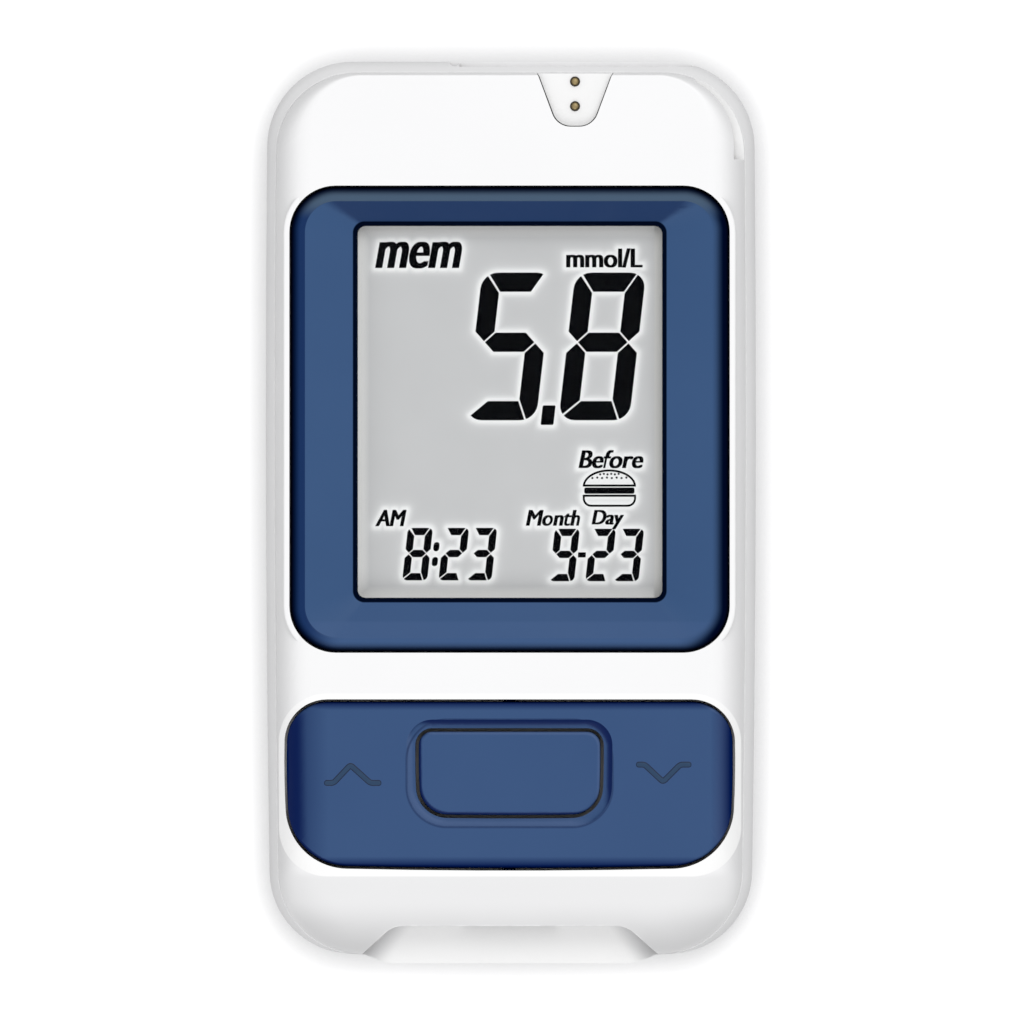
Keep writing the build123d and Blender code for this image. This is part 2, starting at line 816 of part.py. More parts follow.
# ================================================================ circuit board
board_plan = casing_plan(3.3, 2.9, 3.2, 5.6, 5.4)
board = prism(board_plan, board_bottom_z, board_top_z)
for x, y in screw_places:
    board -= rod(x, y, board_bottom_z - 1, board_top_z + 1, boss_radius + 0.25)
main_board = board
export_step(main_board, "parts/main_board.step")

# three tact switches: square housings with round plungers
switch_half = 3.0
switch_top_z = shelf_bottom_z - 0.8
plunger_radius = 1.7
plunger_gap = 0.15
plunger_low_z = switch_top_z - 0.7
switch_places = {"left": -side_key_x, "centre": 0, "right": side_key_x}
for name, x in switch_places.items():
    housing = Pos(x, key_y) * prism(Rectangle(2 * switch_half, 2 * switch_half), board_top_z, switch_top_z)
    housing = chamfer(housing.edges().filter_by(Axis.Z), 0.6)
    housing -= rod(x, key_y, plunger_low_z - 0.5, switch_top_z + 1, plunger_radius + plunger_gap)
    for side in (-1, 1):
        for step in (-1, 1):
            foot_x = x + side * (switch_half + 0.35)
            foot_y = key_y + step * 2.0
            housing += Pos(foot_x, foot_y, board_top_z + 0.1) * Box(1.1, 0.7, 0.2)
            housing += Pos(x + side * (switch_half + 0.08), foot_y, board_top_z + 0.6) * Box(0.2, 0.7, 1.2)
    export_step(housing, f"parts/switch_housing_{name}.step")
    plunger = rod(x, key_y, plunger_low_z, plunger_top_z, plunger_radius)
    plunger = fillet(plunger.edges().group_by(Axis.Z)[-1], 0.25)
    export_step(plunger, f"parts/switch_plunger_{name}.step")

# test-strip connector behind the slot
connector_half = 6.6
connector_low_y = scoop_high_y + front_wall + 0.15
connector_high_y = scoop_high_y + 10.55
connector_top_z = shelf_bottom_z - 0.15
contact_pitch = 1.6
contact_count = 5
contact_width = 0.7
connector = block(
    -connector_half, connector_half, connector_low_y, connector_high_y, board_top_z, connector_top_z
)
connector = chamfer(connector.edges().filter_by(Axis.Z), 0.5)
connector -= block(
    -slot_half, slot_half, connector_low_y - 1, connector_high_y - 1.2, slot_low_z, slot_high_z
)
contact_x = [(step - (contact_count - 1) / 2) * contact_pitch for step in range(contact_count)]
groove_half = contact_width / 2 + 0.1
groove_low_y = connector_low_y + 1.2
groove_high_y = connector_high_y + 1
for x in contact_x:
    connector -= block(
        x - groove_half, x + groove_half, groove_low_y, groove_high_y, slot_low_z - 1.25, slot_low_z + 0.1
    )
strip_connector_housing = connector
export_step(strip_connector_housing, "parts/strip_connector_housing.step")

contact_points = [
    (connector_high_y + 1.7, board_top_z + 0.1),
    (connector_high_y + 0.5, board_top_z + 0.1),
    (connector_high_y + 0.5, slot_low_z - 1.0),
    (connector_high_y - 2.0, slot_low_z - 1.0),
    (connector_high_y - 5.0, slot_low_z + 0.35),
    (connector_high_y - 6.6, slot_low_z - 0.35),
]
for number, x in enumerate(contact_x, start=1):
    contact = strip_metal(contact_points, 0.25, 0.18, contact_width, x)
    export_step(contact, f"parts/strip_contact_{number}.step")

# data port: V plate with a flange behind the face and a block for the pins
insert_top_z = overall_height - 0.8
pin_radius = 0.5
pin_top_z = insert_top_z + 0.4
pin_jog_z = notch_floor_z - 0.7
pin_pitch = 2.54
pin_low_y = top_y - 4.69
pin_high_y = pin_low_y + pin_pitch
upper_leg_y = pin_low_y + 1.14
insert = prism(notch_plan(0), notch_floor_z, insert_top_z) & front_outer
insert += block(
    data_x - seat_half,
    data_x + seat_half,
    seat_low_y,
    seat_high_y - fit_gap,
    seat_low_z,
    notch_floor_z + 0.1,
)
insert += prism(notch_plan(1.2) & Pos(data_x, seat_low_y + 0.3) * Rectangle(12, 4.8), pin_jog_z, ceiling_z)


def pin_dome(x, y, top_z, radius):
    stem = rod(x, y, top_z - 1.2, top_z, radius)
    return fillet(stem.edges().group_by(Axis.Z)[-1], 0.42)


lower_pin = pin_dome(data_x, pin_low_y, pin_top_z, pin_radius)
lower_pin += rod(data_x, pin_low_y, board_top_z, pin_top_z - 1.0, pin_radius)
upper_path = FilletPolyline(
    (data_x, pin_high_y, pin_top_z - 0.6),
    (data_x, pin_high_y, pin_jog_z),
    (data_x, upper_leg_y, pin_jog_z),
    (data_x, upper_leg_y, board_top_z),
    radius=0.55,
)
upper_pin = sweep(Pos(data_x, pin_high_y, pin_top_z - 0.6) * Circle(pin_radius), path=upper_path)
upper_pin += pin_dome(data_x, pin_high_y, pin_top_z, pin_radius)
pin_hole = pin_radius + 0.02
insert -= rod(data_x, pin_low_y, seat_low_z - 1, above_z, pin_hole)
insert -= rod(data_x, pin_high_y, pin_jog_z - pin_hole, above_z, pin_hole)
insert -= block(
    data_x - pin_hole,
    data_x + pin_hole,
    upper_leg_y - pin_hole,
    pin_high_y,
    seat_low_z - 1,
    pin_jog_z + pin_hole,
)
data_port_insert = insert
data_pin_lower = lower_pin
data_pin_upper = upper_pin
export_step(data_port_insert, "parts/data_port_insert.step")
export_step(data_pin_lower, "parts/data_pin_lower.step")
export_step(data_pin_upper, "parts/data_pin_upper.step")


def leaded_chip(x, y, body_x, body_y, body_height, pitch, count_x, count_y):
    # chip hung under the board with gull-wing leads on two or four sides
    low_z = board_bottom_z - body_height
    chip = block(x - body_x / 2, x + body_x / 2, y - body_y / 2, y + body_y / 2, low_z, board_bottom_z - 0.1)
    chip = chamfer(chip.edges().filter_by(Axis.Z), 0.3)
    foot = Box(0.7, 0.3, 0.15)
    for step in range(count_y):
        along = (step - (count_y - 1) / 2) * pitch
        for side in (-1, 1):
            reach = side * (body_x / 2 + 0.25)
            chip += Pos(x + reach, y + along, board_bottom_z - 0.075) * foot
    for step in range(count_x):
        along = (step - (count_x - 1) / 2) * pitch
        for side in (-1, 1):
            reach = side * (body_y / 2 + 0.25)
            chip += Pos(x + along, y + reach, board_bottom_z - 0.075) * Rot(0, 0, 90) * foot
    chip += block(x - body_x / 2 + 0.3, x + body_x / 2 - 0.3, y - 0.5, y + 0.5, low_z, board_bottom_z)
    return chip


chip_y = holder_low_y - 3.1
front_end_y = bottom_y + 12.9
controller_chip = leaded_chip(0, chip_y, 10, 10, 1.4, 0.8, 11, 11)
memory_chip = leaded_chip(-13.5, chip_y, 4, 5, 1.5, 1.27, 0, 4)
front_end_chip = leaded_chip(0, front_end_y, 4, 8.7, 1.5, 1.27, 0, 7)
export_step(controller_chip, "parts/controller_chip.step")
export_step(memory_chip, "parts/memory_chip.step")
export_step(front_end_chip, "parts/front_end_chip.step")

crystal = Pos(11.5, chip_y, board_bottom_z - 1.0) * Rot(90, 0, 0) * Cylinder(1.0, 6.0)
crystal = fillet(crystal.edges(), 0.25)
export_step(crystal, "parts/crystal.step")

# buzzer: round can with a sound hole facing the back
buzzer_radius = 4.5
buzzer_low_z = board_bottom_z - 3.7
buzzer_profile = make_face(
    Polyline(
        (0.9, buzzer_low_z),
        (buzzer_radius, buzzer_low_z),
        (buzzer_radius, board_bottom_z),
        (0, board_bottom_z),
        (0, buzzer_low_z + 1.2),
        (0.9, buzzer_low_z + 1.2),
        close=True,
    )
)
buzzer = revolve(Plane.XZ * buzzer_profile, Axis.Z)
buzzer = Pos(buzzer_x, buzzer_y, 0) * buzzer
export_step(buzzer, "parts/buzzer.step")

# ================================================================ power
cap_radius = 8.9
cell_profile = make_face(
    Polyline(
        (0, cell_low_z),
        (cell_radius - 0.25, cell_low_z),
        (cell_radius, cell_low_z + 0.25),
        (cell_radius, cell_high_z - 0.55),
        (cell_radius - 0.3, cell_high_z - 0.25),
        (cap_radius + 0.15, cell_high_z - 0.25),
        (cap_radius, cell_high_z - 0.1),
        (cap_radius - 0.1, cell_high_z),
        (0, cell_high_z),
        close=True,
    )
)
cell = revolve(Plane.XZ * cell_profile, Axis.Z)
for name, side in (("left", -1), ("right", 1)):
    export_step(Pos(side * cell_x, cell_y, 0) * cell, f"parts/coin_cell_{name}.step")

upper_contact_points = [
    (upper_slot_y - 1.6, board_bottom_z - 0.1),
    (upper_slot_y, board_bottom_z - 0.1),
    (upper_slot_y, pocket_roof_z - 0.11),
    (upper_slot_y - 4.0, pocket_roof_z - 0.11),
    (cell_y + 1.0, cell_high_z + 0.12),
    (cell_y - 1.2, cell_high_z + 0.14 * cell_spare),
]
rim_y = cell_y - cell_radius
rim_contact_points = [
    (rim_y + 0.1, board_bottom_z - 0.1),
    (rim_y - 1.2, board_bottom_z - 0.1),
    (rim_y - 1.2, cell_high_z + 0.4),
    (rim_y - 0.16, cell_low_z + 1.7),
    (rim_y - 1.1, cell_low_z + 0.2),
]
for name, side in (("left", -1), ("right", 1)):
    upper_contact = strip_metal(upper_contact_points, 0.3, 0.2, 3.6, side * cell_x)
    rim_contact = strip_metal(rim_contact_points, 0.3, 0.2, 4.0, side * cell_x)
    export_step(upper_contact, f"parts/cell_contact_{name}.step")
    export_step(rim_contact, f"parts/rim_contact_{name}.step")

# battery cover: flush plate, two hooks at one end, latch tongue and grip grooves at the other
cover = prism(cover_plan(0), 0, cover_thickness)
cover = chamfer(cover.edges().group_by(Axis.Z)[0], 0.15)
for side in (-1, 1):
    x = side * hook_x
    cover += block(
        x - hook_half,
        x + hook_half,
        cover_top_y - 1.3,
        cover_top_y + hook_reach - 0.2,
        cover_thickness,
        cover_thickness + 0.9,
    )
    cover += block(x - hook_half, x + hook_half, cover_top_y - 1.3, cover_top_y, 0.6, cover_thickness + 0.2)
    # ribs that hold the cell down
    for step in (-1, 0, 1):
        rib_x = side * cell_x + step * 4.5
        cover += block(
            rib_x - 0.4, rib_x + 0.4, cell_y - 5.5, cell_y + 5.5, cover_thickness - 0.2, cell_low_z
        )
# latch tongue, freed by two slits
nose_top_z = notch_top_z - 0.2
tongue_wall = block(
    -latch_half, latch_half, cover_low_y + 0.15, cover_low_y + 0.95, cover_thickness - 0.3, nose_top_z
)
tongue_wall = fillet(tongue_wall.edges().filter_by(Axis.X).group_by(Axis.Z)[-1], 0.3)
cover += tongue_wall
for side in (-1, 1):
    slit_x = side * (latch_half + 0.5)
    cover -= block(slit_x - 0.25, slit_x + 0.25, cover_low_y - 1, cover_low_y + 5.5, -1, 3)
for step in range(5):
    groove_y = cover_low_y + 1.6 + step * 0.95
    cover -= Pos(0, groove_y, 0) * Rot(0, 90, 0) * Cylinder(0.25, 2 * latch_half - 1.6)
battery_cover = cover
export_step(battery_cover, "parts/battery_cover.step")

# ================================================================ screws
head_radius = 1.8
head_height = 1.3
shank_radius = 0.88
screw_top_z = parting_z + 0.4
for number, (x, y) in enumerate(screw_places, start=1):
    screw = rod(x, y, counterbore_z - head_height, counterbore_z, head_radius)
    screw = fillet(screw.edges().group_by(Axis.Z)[0], 0.35)
    screw += rod(x, y, counterbore_z, screw_top_z, shank_radius)
    screw = chamfer(screw.edges().group_by(Axis.Z)[-1], 0.3)
    export_step(screw, f"parts/casing_screw_{number}.step")
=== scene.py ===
import bmesh
import bpy
from math import cos, pi, radians, sin, sqrt
from mathutils import Matrix, Vector
from mathutils.bvhtree import BVHTree


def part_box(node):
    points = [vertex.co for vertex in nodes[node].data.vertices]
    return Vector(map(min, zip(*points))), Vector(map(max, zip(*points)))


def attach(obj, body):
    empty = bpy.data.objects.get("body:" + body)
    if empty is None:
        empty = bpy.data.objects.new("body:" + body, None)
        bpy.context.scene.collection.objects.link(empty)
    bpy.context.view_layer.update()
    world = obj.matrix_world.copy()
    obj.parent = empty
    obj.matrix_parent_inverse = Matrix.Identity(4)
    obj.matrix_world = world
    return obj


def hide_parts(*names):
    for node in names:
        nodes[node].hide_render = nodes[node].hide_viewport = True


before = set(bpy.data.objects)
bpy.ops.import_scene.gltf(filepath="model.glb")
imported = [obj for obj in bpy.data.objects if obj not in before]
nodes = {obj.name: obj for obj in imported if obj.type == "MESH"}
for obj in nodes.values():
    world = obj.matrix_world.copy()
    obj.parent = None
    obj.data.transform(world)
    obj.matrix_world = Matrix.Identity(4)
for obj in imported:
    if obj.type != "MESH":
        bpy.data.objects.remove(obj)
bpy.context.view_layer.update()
mm = 0.001
print("stage: frame loaded,", len(nodes), "nodes")

# camera, over the display with a long lens and a little from the right, with the data port at the top
view = {
    "distance": 3.0,
    "sensorWidth": 36.0,
    "frameWidth": 105.53 * mm,
    "aim": Vector((0.155, 0.025, 9.0)) * mm,
    "lean": radians(0.9),
}
cameraData = bpy.data.cameras.new("frontCamera")
cameraData.sensor_width = view["sensorWidth"]
cameraData.lens = view["sensorWidth"] * view["distance"] / view["frameWidth"]
camera = bpy.data.objects.new("frontCamera", cameraData)
camera.location = view["aim"] + view["distance"] * Vector((sin(view["lean"]), 0, cos(view["lean"])))
camera.rotation_euler = (0, view["lean"], 0)
bpy.context.scene.collection.objects.link(camera)
bpy.context.scene.camera = camera
bpy.context.scene.view_settings.view_transform = "Standard"
print("stage: camera")


# hands: small helpers round the modelling operators
def deselectAll():
    if bpy.context.mode != "OBJECT":
        bpy.ops.object.mode_set(mode="OBJECT")
    bpy.ops.object.select_all(action="DESELECT")


def activate(piece):
    deselectAll()
    bpy.context.view_layer.objects.active = piece
    piece.select_set(True)


def editPiece(piece):
    activate(piece)
    bpy.ops.object.mode_set(mode="EDIT")
    bpy.ops.mesh.select_all(action="SELECT")


def pick(piece, kind, test):
    # in edit mode, selects the vertices, edges or faces whose middle passes the test
    bpy.ops.mesh.select_mode(type=kind)
    bpy.ops.mesh.select_all(action="DESELECT")
    cage = bmesh.from_edit_mesh(piece.data)
    items = {"VERT": cage.verts, "EDGE": cage.edges, "FACE": cage.faces}[kind]
    for item in items:
        corners = [item] if kind == "VERT" else list(item.verts)
        middle = sum((corner.co for corner in corners), Vector()) / len(corners)
        if test(middle, item):
            item.select_set(True)
    cage.select_flush_mode()
    bmesh.update_edit_mesh(piece.data)


def addPlate(name, centre, size):
    # flat plate, left in edit mode with everything selected
    deselectAll()
    bpy.ops.mesh.primitive_plane_add(size=1)
    piece = bpy.context.object
    piece.name = name
    piece.data.name = name
    editPiece(piece)
    bpy.ops.transform.resize(value=(size[0], size[1], 1))
    bpy.ops.transform.translate(value=(centre[0], centre[1], 0))
    return piece


def roundCorners(offset, steps):
    bpy.ops.mesh.bevel(offset=offset, segments=steps, affect="VERTICES")


def cutPlate(cuts):
    # each cut is a place on the line and the direction of the side that goes
    for place, outward in cuts:
        bpy.ops.mesh.select_all(action="SELECT")
        bpy.ops.mesh.bisect(plane_co=place, plane_no=outward, clear_outer=True)


def copyPiece(piece, name):
    twin = piece.copy()
    twin.data = piece.data.copy()
    twin.name = name
    twin.data.name = name
    bpy.context.scene.collection.objects.link(twin)
    return twin


def joinPieces(name, pieces):
    activate(pieces[0])
    for piece in pieces:
        piece.select_set(True)
    bpy.ops.object.join()
    pieces[0].name = name
    pieces[0].data.name = name
    return pieces[0]


def applyModifier(piece, kind, **settings):
    activate(piece)
    modifier = piece.modifiers.new(kind.title(), kind)
    for name, value in settings.items():
        setattr(modifier, name, value)
    bpy.ops.object.modifier_apply(modifier=modifier.name)


def discard(pieces):
    for piece in pieces:
        bpy.data.objects.remove(piece)


# node helpers
def fill(tree, node, sockets):
    # each socket takes a link or a plain value
    for name, value in sockets.items():
        if isinstance(value, bpy.types.NodeSocket):
            tree.links.new(value, node.inputs[name])
        else:
            node.inputs[name].default_value = value


def put(tree, kind, sockets=None, **settings):
    # adds a node, sets its options, then fills its sockets
    node = tree.nodes.new("ShaderNode" + kind)
    for name, value in settings.items():
        setattr(node, name, value)
    fill(tree, node, sockets or {})
    return node


def calc(tree, operation, first, second=0.0, clamp=False):
    node = put(tree, "Math", {0: first, 1: second}, operation=operation, use_clamp=clamp)
    return node.outputs[0]


def remap(tree, value, low, high, toLow=0.0, toHigh=1.0, kind="LINEAR"):
    sockets = {"Value": value, "From Min": low, "From Max": high, "To Min": toLow, "To Max": toHigh}
    return put(tree, "MapRange", sockets, interpolation_type=kind).outputs["Result"]


def mixColour(tree, factor, first, second, mode="MIX"):
    node = put(tree, "Mix", {0: factor, 6: first, 7: second}, data_type="RGBA", blend_type=mode)
    return node.outputs[2]


def objectPlace(tree):
    return put(tree, "SeparateXYZ", {0: put(tree, "TexCoord").outputs["Object"]}).outputs


def paint(red, green, blue):
    # colour written as 0 to 255 on the screen, given in linear light
    def toLinear(value):
        value /= 255
        return value / 12.92 if value <= 0.04045 else ((value + 0.055) / 1.055) ** 2.4

    return (toLinear(red), toLinear(green), toLinear(blue), 1.0)


# shared effects, each a node group built once
def startGroup(name, inputs, *outputs):
    tree = bpy.data.node_groups.new(name, "ShaderNodeTree")
    for label, value in inputs.items():
        socket = tree.interface.new_socket(label, in_out="INPUT", socket_type="NodeSocketFloat")
        socket.default_value = value
    for label in outputs:
        tree.interface.new_socket(label, in_out="OUTPUT", socket_type="NodeSocketFloat")
    start = tree.nodes.new("NodeGroupInput").outputs
    end = tree.nodes.new("NodeGroupOutput").inputs
    return tree, start, end


def buildToneDrift():
    # slow change of tone over the surface, 0 to 1
    tree, start, end = startGroup("toneDrift", {"Scale": 60.0, "Contrast": 0.2}, "Tone")
    place = put(tree, "TexCoord").outputs["Object"]
    broad = put(tree, "TexNoise", {"Vector": place, "Scale": start["Scale"], "Detail": 3.0}).outputs[0]
    low = calc(tree, "SUBTRACT", 0.5, start["Contrast"])
    high = calc(tree, "ADD", 0.5, start["Contrast"])
    tree.links.new(remap(tree, broad, low, high), end["Tone"])
    return tree


def buildMouldGrain():
    # fine spark-eroded texture of the mould
    tree, start, end = startGroup("mouldGrain", {"Scale": 5000.0}, "Height")
    place = put(tree, "TexCoord").outputs["Object"]
    sockets = {"Vector": place, "Scale": start["Scale"]}
    cells = put(tree, "TexVoronoi", sockets, feature="SMOOTH_F1").outputs[0]
    finer = calc(tree, "MULTIPLY", start["Scale"], 2.3)
    noise = put(tree, "TexNoise", {"Vector": place, "Scale": finer, "Detail": 2.0}).outputs[0]
    tree.links.new(calc(tree, "ADD", calc(tree, "MULTIPLY", cells, 0.6), noise), end["Height"])
    return tree


def buildEdgeRub():
    # outer edges, where handling polishes the skin; the lighter colour laid here is wear and also a painted
    # highlight along the edge
    tree, start, end = startGroup("edgeRub", {"Radius": 0.0002, "Reach": 0.15, "Scale": 900.0}, "Mask")
    rounded = put(tree, "Bevel", {"Radius": start["Radius"]}, samples=4).outputs[0]
    flat = put(tree, "NewGeometry").outputs["Normal"]
    match = put(tree, "VectorMath", {0: rounded, 1: flat}, operation="DOT_PRODUCT").outputs["Value"]
    turn = calc(tree, "SUBTRACT", 1.0, match)
    edge = remap(tree, turn, 0.004, start["Reach"])
    place = put(tree, "TexCoord").outputs["Object"]
    broken = put(tree, "TexNoise", {"Vector": place, "Scale": start["Scale"], "Detail": 4.0}).outputs[0]
    tree.links.new(calc(tree, "MULTIPLY", edge, remap(tree, broken, 0.38, 0.62)), end["Mask"])
    return tree


def buildCreaseDust(name, ownOnly):
    # Mask: corners and seams found by ambient occlusion, for painted shade with a dusty tint; Depth: narrow
    # gaps, for painted shade where no light gets in
    tree, start, end = startGroup(name, {"Distance": 0.0008, "Scale": 700.0}, "Mask", "Depth")
    sockets = {"Distance": start["Distance"]}
    access = put(tree, "AmbientOcclusion", sockets, samples=5, only_local=ownOnly).outputs["AO"]
    shut = remap(tree, access, 0.95, 0.35)
    place = put(tree, "TexCoord").outputs["Object"]
    patchy = put(tree, "TexNoise", {"Vector": place, "Scale": start["Scale"], "Detail": 3.0}).outputs[0]
    tree.links.new(calc(tree, "MULTIPLY", shut, remap(tree, patchy, 0.25, 0.7, 0.45, 1.0)), end["Mask"])
    tree.links.new(remap(tree, access, 0.42, 0.12), end["Depth"])
    return tree


def buildHairScratches():
    # hair-fine scratches in two directions
    tree, start, end = startGroup("hairScratches", {"Scale": 260.0, "Amount": 0.5}, "Mask")
    place = put(tree, "TexCoord").outputs["Object"]
    lines = []
    for turn, stretch in ((0.5, 34.0), (2.1, 46.0)):
        sockets = {"Vector": place, "Rotation": (0.0, 0.0, turn), "Scale": (1.0, stretch, 1.0)}
        laid = put(tree, "Mapping", sockets).outputs[0]
        noise = put(tree, "TexNoise", {"Vector": laid, "Scale": start["Scale"], "Detail": 2.0}).outputs[0]
        lines.append(remap(tree, noise, 0.66, 0.72))
    both = calc(tree, "MAXIMUM", lines[0], lines[1])
    tree.links.new(calc(tree, "MULTIPLY", both, start["Amount"]), end["Mask"])
    return tree


def buildTurnedAway():
    # where the skin turns down from the face, read from the piece's own normal, for painted shade there
    tree, start, end = startGroup("turnedAway", {"Level": 1.0, "Steep": 0.2}, "Mask")
    normal = put(tree, "TexCoord").outputs["Normal"]
    rise = put(tree, "SeparateXYZ", {0: normal}).outputs["Z"]
    tree.links.new(remap(tree, rise, start["Level"], start["Steep"]), end["Mask"])
    return tree


def buildFacing():
    # slopes that face one way in plan, for painted light and shade on them
    tree, start, end = startGroup("facing", {"X": 0.0, "Y": 1.0, "Low": 0.1, "High": 0.5}, "Mask")
    normal = put(tree, "SeparateXYZ", {0: put(tree, "TexCoord").outputs["Normal"]}).outputs
    shares = [calc(tree, "MULTIPLY", normal[axis], start[axis]) for axis in ("X", "Y")]
    along = calc(tree, "ADD", shares[0], shares[1])
    tree.links.new(remap(tree, along, start["Low"], start["High"], kind="SMOOTHSTEP"), end["Mask"])
    return tree


def buildFrameDistance():
    # how far inside a rounded rectangle a point lies, in metres
    inputs = {"Centre X": 0.0, "Centre Y": 0.0, "Half X": 0.02, "Half Y": 0.02, "Radius": 0.004}
    tree, start, end = startGroup("frameDistance", inputs, "Inside")
    place = objectPlace(tree)
    past = []
    for axis in ("X", "Y"):
        away = calc(tree, "ABSOLUTE", calc(tree, "SUBTRACT", place[axis], start["Centre " + axis]))
        straight = calc(tree, "SUBTRACT", start["Half " + axis], start["Radius"])
        past.append(calc(tree, "SUBTRACT", away, straight))
    squares = [calc(tree, "POWER", calc(tree, "MAXIMUM", side), 2.0) for side in past]
    corner = calc(tree, "SQRT", calc(tree, "ADD", squares[0], squares[1]))
    inner = calc(tree, "MINIMUM", calc(tree, "MAXIMUM", past[0], past[1]))
    inside = calc(tree, "SUBTRACT", calc(tree, "SUBTRACT", start["Radius"], corner), inner)
    tree.links.new(inside, end["Inside"])
    return tree


def buildSmudges():
    # faint prints and wipe marks that change the gloss
    tree, start, end = startGroup("smudges", {"Scale": 90.0}, "Mask")
    place = put(tree, "TexCoord").outputs["Object"]
    sockets = {"Vector": place, "Scale": start["Scale"], "Detail": 5.0, "Distortion": 1.6}
    noise = put(tree, "TexNoise", sockets).outputs[0]
    tree.links.new(remap(tree, noise, 0.42, 0.68), end["Mask"])
    return tree


effects = {
    "toneDrift": buildToneDrift(),
    "mouldGrain": buildMouldGrain(),
    "edgeRub": buildEdgeRub(),
    "creaseDust": buildCreaseDust("creaseDust", False),
    "ownCreaseDust": buildCreaseDust("ownCreaseDust", True),
    "hairScratches": buildHairScratches(),
    "turnedAway": buildTurnedAway(),
    "facing": buildFacing(),
    "frameDistance": buildFrameDistance(),
    "smudges": buildSmudges(),
}


def effectNode(tree, name, values):
    node = tree.nodes.new("ShaderNodeGroup")
    node.node_tree = effects[name]
    for label, value in values.items():
        node.inputs[label].default_value = value
    return node


def effect(tree, name, **values):
    return effectNode(tree, name, values).outputs[0]


print("stage: shared effects,", len(effects), "groups")


# materials
def startMaterial(name):
    material = bpy.data.materials.new(name)
    material.use_nodes = True
    tree = material.node_tree
    tree.nodes.clear()
    shader = put(tree, "BsdfPrincipled")
    output = put(tree, "OutputMaterial", {"Surface": shader.outputs[0]})
    return material, tree, shader, output


def surfaceBump(tree, height, depth):
    return put(tree, "Bump", {"Height": height, "Distance": depth, "Strength": 1.0}).outputs[0]


def smudgedRoughness(tree, scale, low, high):
    # roughness goes from low to high where the skin is smudged
    return remap(tree, effect(tree, "smudges", Scale=scale), 0.0, 1.0, low, high)


def mouldedPlastic(name, look, ownTone=None):
    # satin moulded plastic: drifting tone, painted shade where it turns away, edges that are worn and carry a
    # painted highlight, painted shade with a dusty tint in seams and gaps
    material, tree, shader, output = startMaterial(name)
    drift = effect(tree, "toneDrift", Scale=look["driftScale"], Contrast=0.2)
    colour = mixColour(tree, drift, look["colour"], look["otherColour"])
    away = effect(tree, "turnedAway", Level=look["level"], Steep=look["steep"])
    colour = mixColour(tree, away, colour, look["awayColour"])
    unlit = None
    if ownTone:
        colour, unlit = ownTone(tree, colour)
    rub = effect(tree, "edgeRub", Radius=look["rubRadius"])
    gloss = look["specular"]
    if unlit is not None:
        lit = calc(tree, "SUBTRACT", 1.0, unlit)
        rub = calc(tree, "MULTIPLY", rub, lit)
        gloss = calc(tree, "MULTIPLY", lit, look["specular"])
    seams = effectNode(tree, look["creases"], {"Distance": look["seamReach"]}).outputs
    for mask, tone in ((rub, "rub"), (seams["Mask"], "dust"), (seams["Depth"], "depth")):
        share = calc(tree, "MULTIPLY", mask, look[tone + "Share"])
        colour = mixColour(tree, share, colour, look[tone + "Colour"])
    scratch = effect(tree, "hairScratches", Amount=look["scratchShare"])
    polished = look["roughness"] - look["smudgeGloss"]
    rough = smudgedRoughness(tree, look["smudgeScale"], look["roughness"], polished)
    rough = calc(tree, "ADD", rough, calc(tree, "MULTIPLY", scratch, 0.12))
    rough = calc(tree, "SUBTRACT", rough, calc(tree, "MULTIPLY", rub, 0.08), clamp=True)
    grain = effect(tree, "mouldGrain", Scale=look["grainScale"])
    height = calc(tree, "SUBTRACT", grain, calc(tree, "MULTIPLY", scratch, 0.5))
    normal = surfaceBump(tree, height, look["grainDepth"])
    fill(tree, shader, {
        "Base Color": colour,
        "Roughness": rough,
        "Normal": normal,
        "IOR": 1.5,
        "Specular IOR Level": gloss,
    })
    return material


def metalSheet(name, look):
    # rolled or turned metal: two tones, painted shade in creases and on edges that turn away, faint
    # scratches, dull patches
    material, tree, shader, output = startMaterial(name)
    drift = effect(tree, "toneDrift", Scale=look["driftScale"], Contrast=0.15)
    colour = mixColour(tree, drift, look["colour"], look["otherColour"])
    dust = effect(tree, "creaseDust", Distance=0.4 * mm)
    colour = mixColour(tree, calc(tree, "MULTIPLY", dust, 0.6), colour, look["dirtColour"])
    edge = effect(tree, "turnedAway", Level=look["edgeLevel"], Steep=look["edgeLevel"] - 0.35)
    colour = mixColour(tree, edge, colour, look["edgeColour"])
    scratch = effect(tree, "hairScratches", Scale=look["scratchScale"], Amount=0.8)
    rough = smudgedRoughness(tree, 400.0, look["roughness"], look["roughness"] + 0.12)
    rough = calc(tree, "ADD", rough, calc(tree, "MULTIPLY", scratch, 0.1), clamp=True)
    normal = surfaceBump(tree, scratch, 0.004 * mm)
    fill(tree, shader, {"Base Color": colour, "Roughness": rough, "Metallic": 1.0, "Normal": normal})
    return material


# the turned-away colour is painted shade, the seam and gap colours are painted shade, and the edge colour is
# wear with a painted highlight
casingLook = {
    "colour": paint(249, 249, 250),
    "otherColour": paint(247, 247, 248),
    "awayColour": paint(207, 207, 208),
    "level": 0.9,
    "steep": 0.1,
    "creases": "creaseDust",
    "dustColour": paint(150, 147, 142),
    "dustShare": 0.3,
    "depthColour": paint(84, 85, 90),
    "depthShare": 0.6,
    "seamReach": 0.7 * mm,
    "rubColour": paint(254, 254, 254),
    "rubShare": 0.9,
    "rubRadius": 0.3 * mm,
    "driftScale": 45.0,
    "smudgeScale": 80.0,
    "smudgeGloss": 0.07,
    "scratchShare": 0.25,
    "roughness": 0.42,
    "grainScale": 5200.0,
    "grainDepth": 0.003 * mm,
    "specular": 0.4,
}
windowLap = {"side": 2.55 * mm, "top": 2.76 * mm, "bottom": 2.72 * mm}
lensLow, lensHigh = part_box("display_lens")
windowLow = Vector((lensLow.x + windowLap["side"], lensLow.y + windowLap["bottom"], 0))
windowHigh = Vector((lensHigh.x - windowLap["side"], lensHigh.y - windowLap["top"], 0))
pivotReach = 0.65 * mm
keyLow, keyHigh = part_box("rocker_key")
keyLow.y += pivotReach
keyHigh.y -= pivotReach
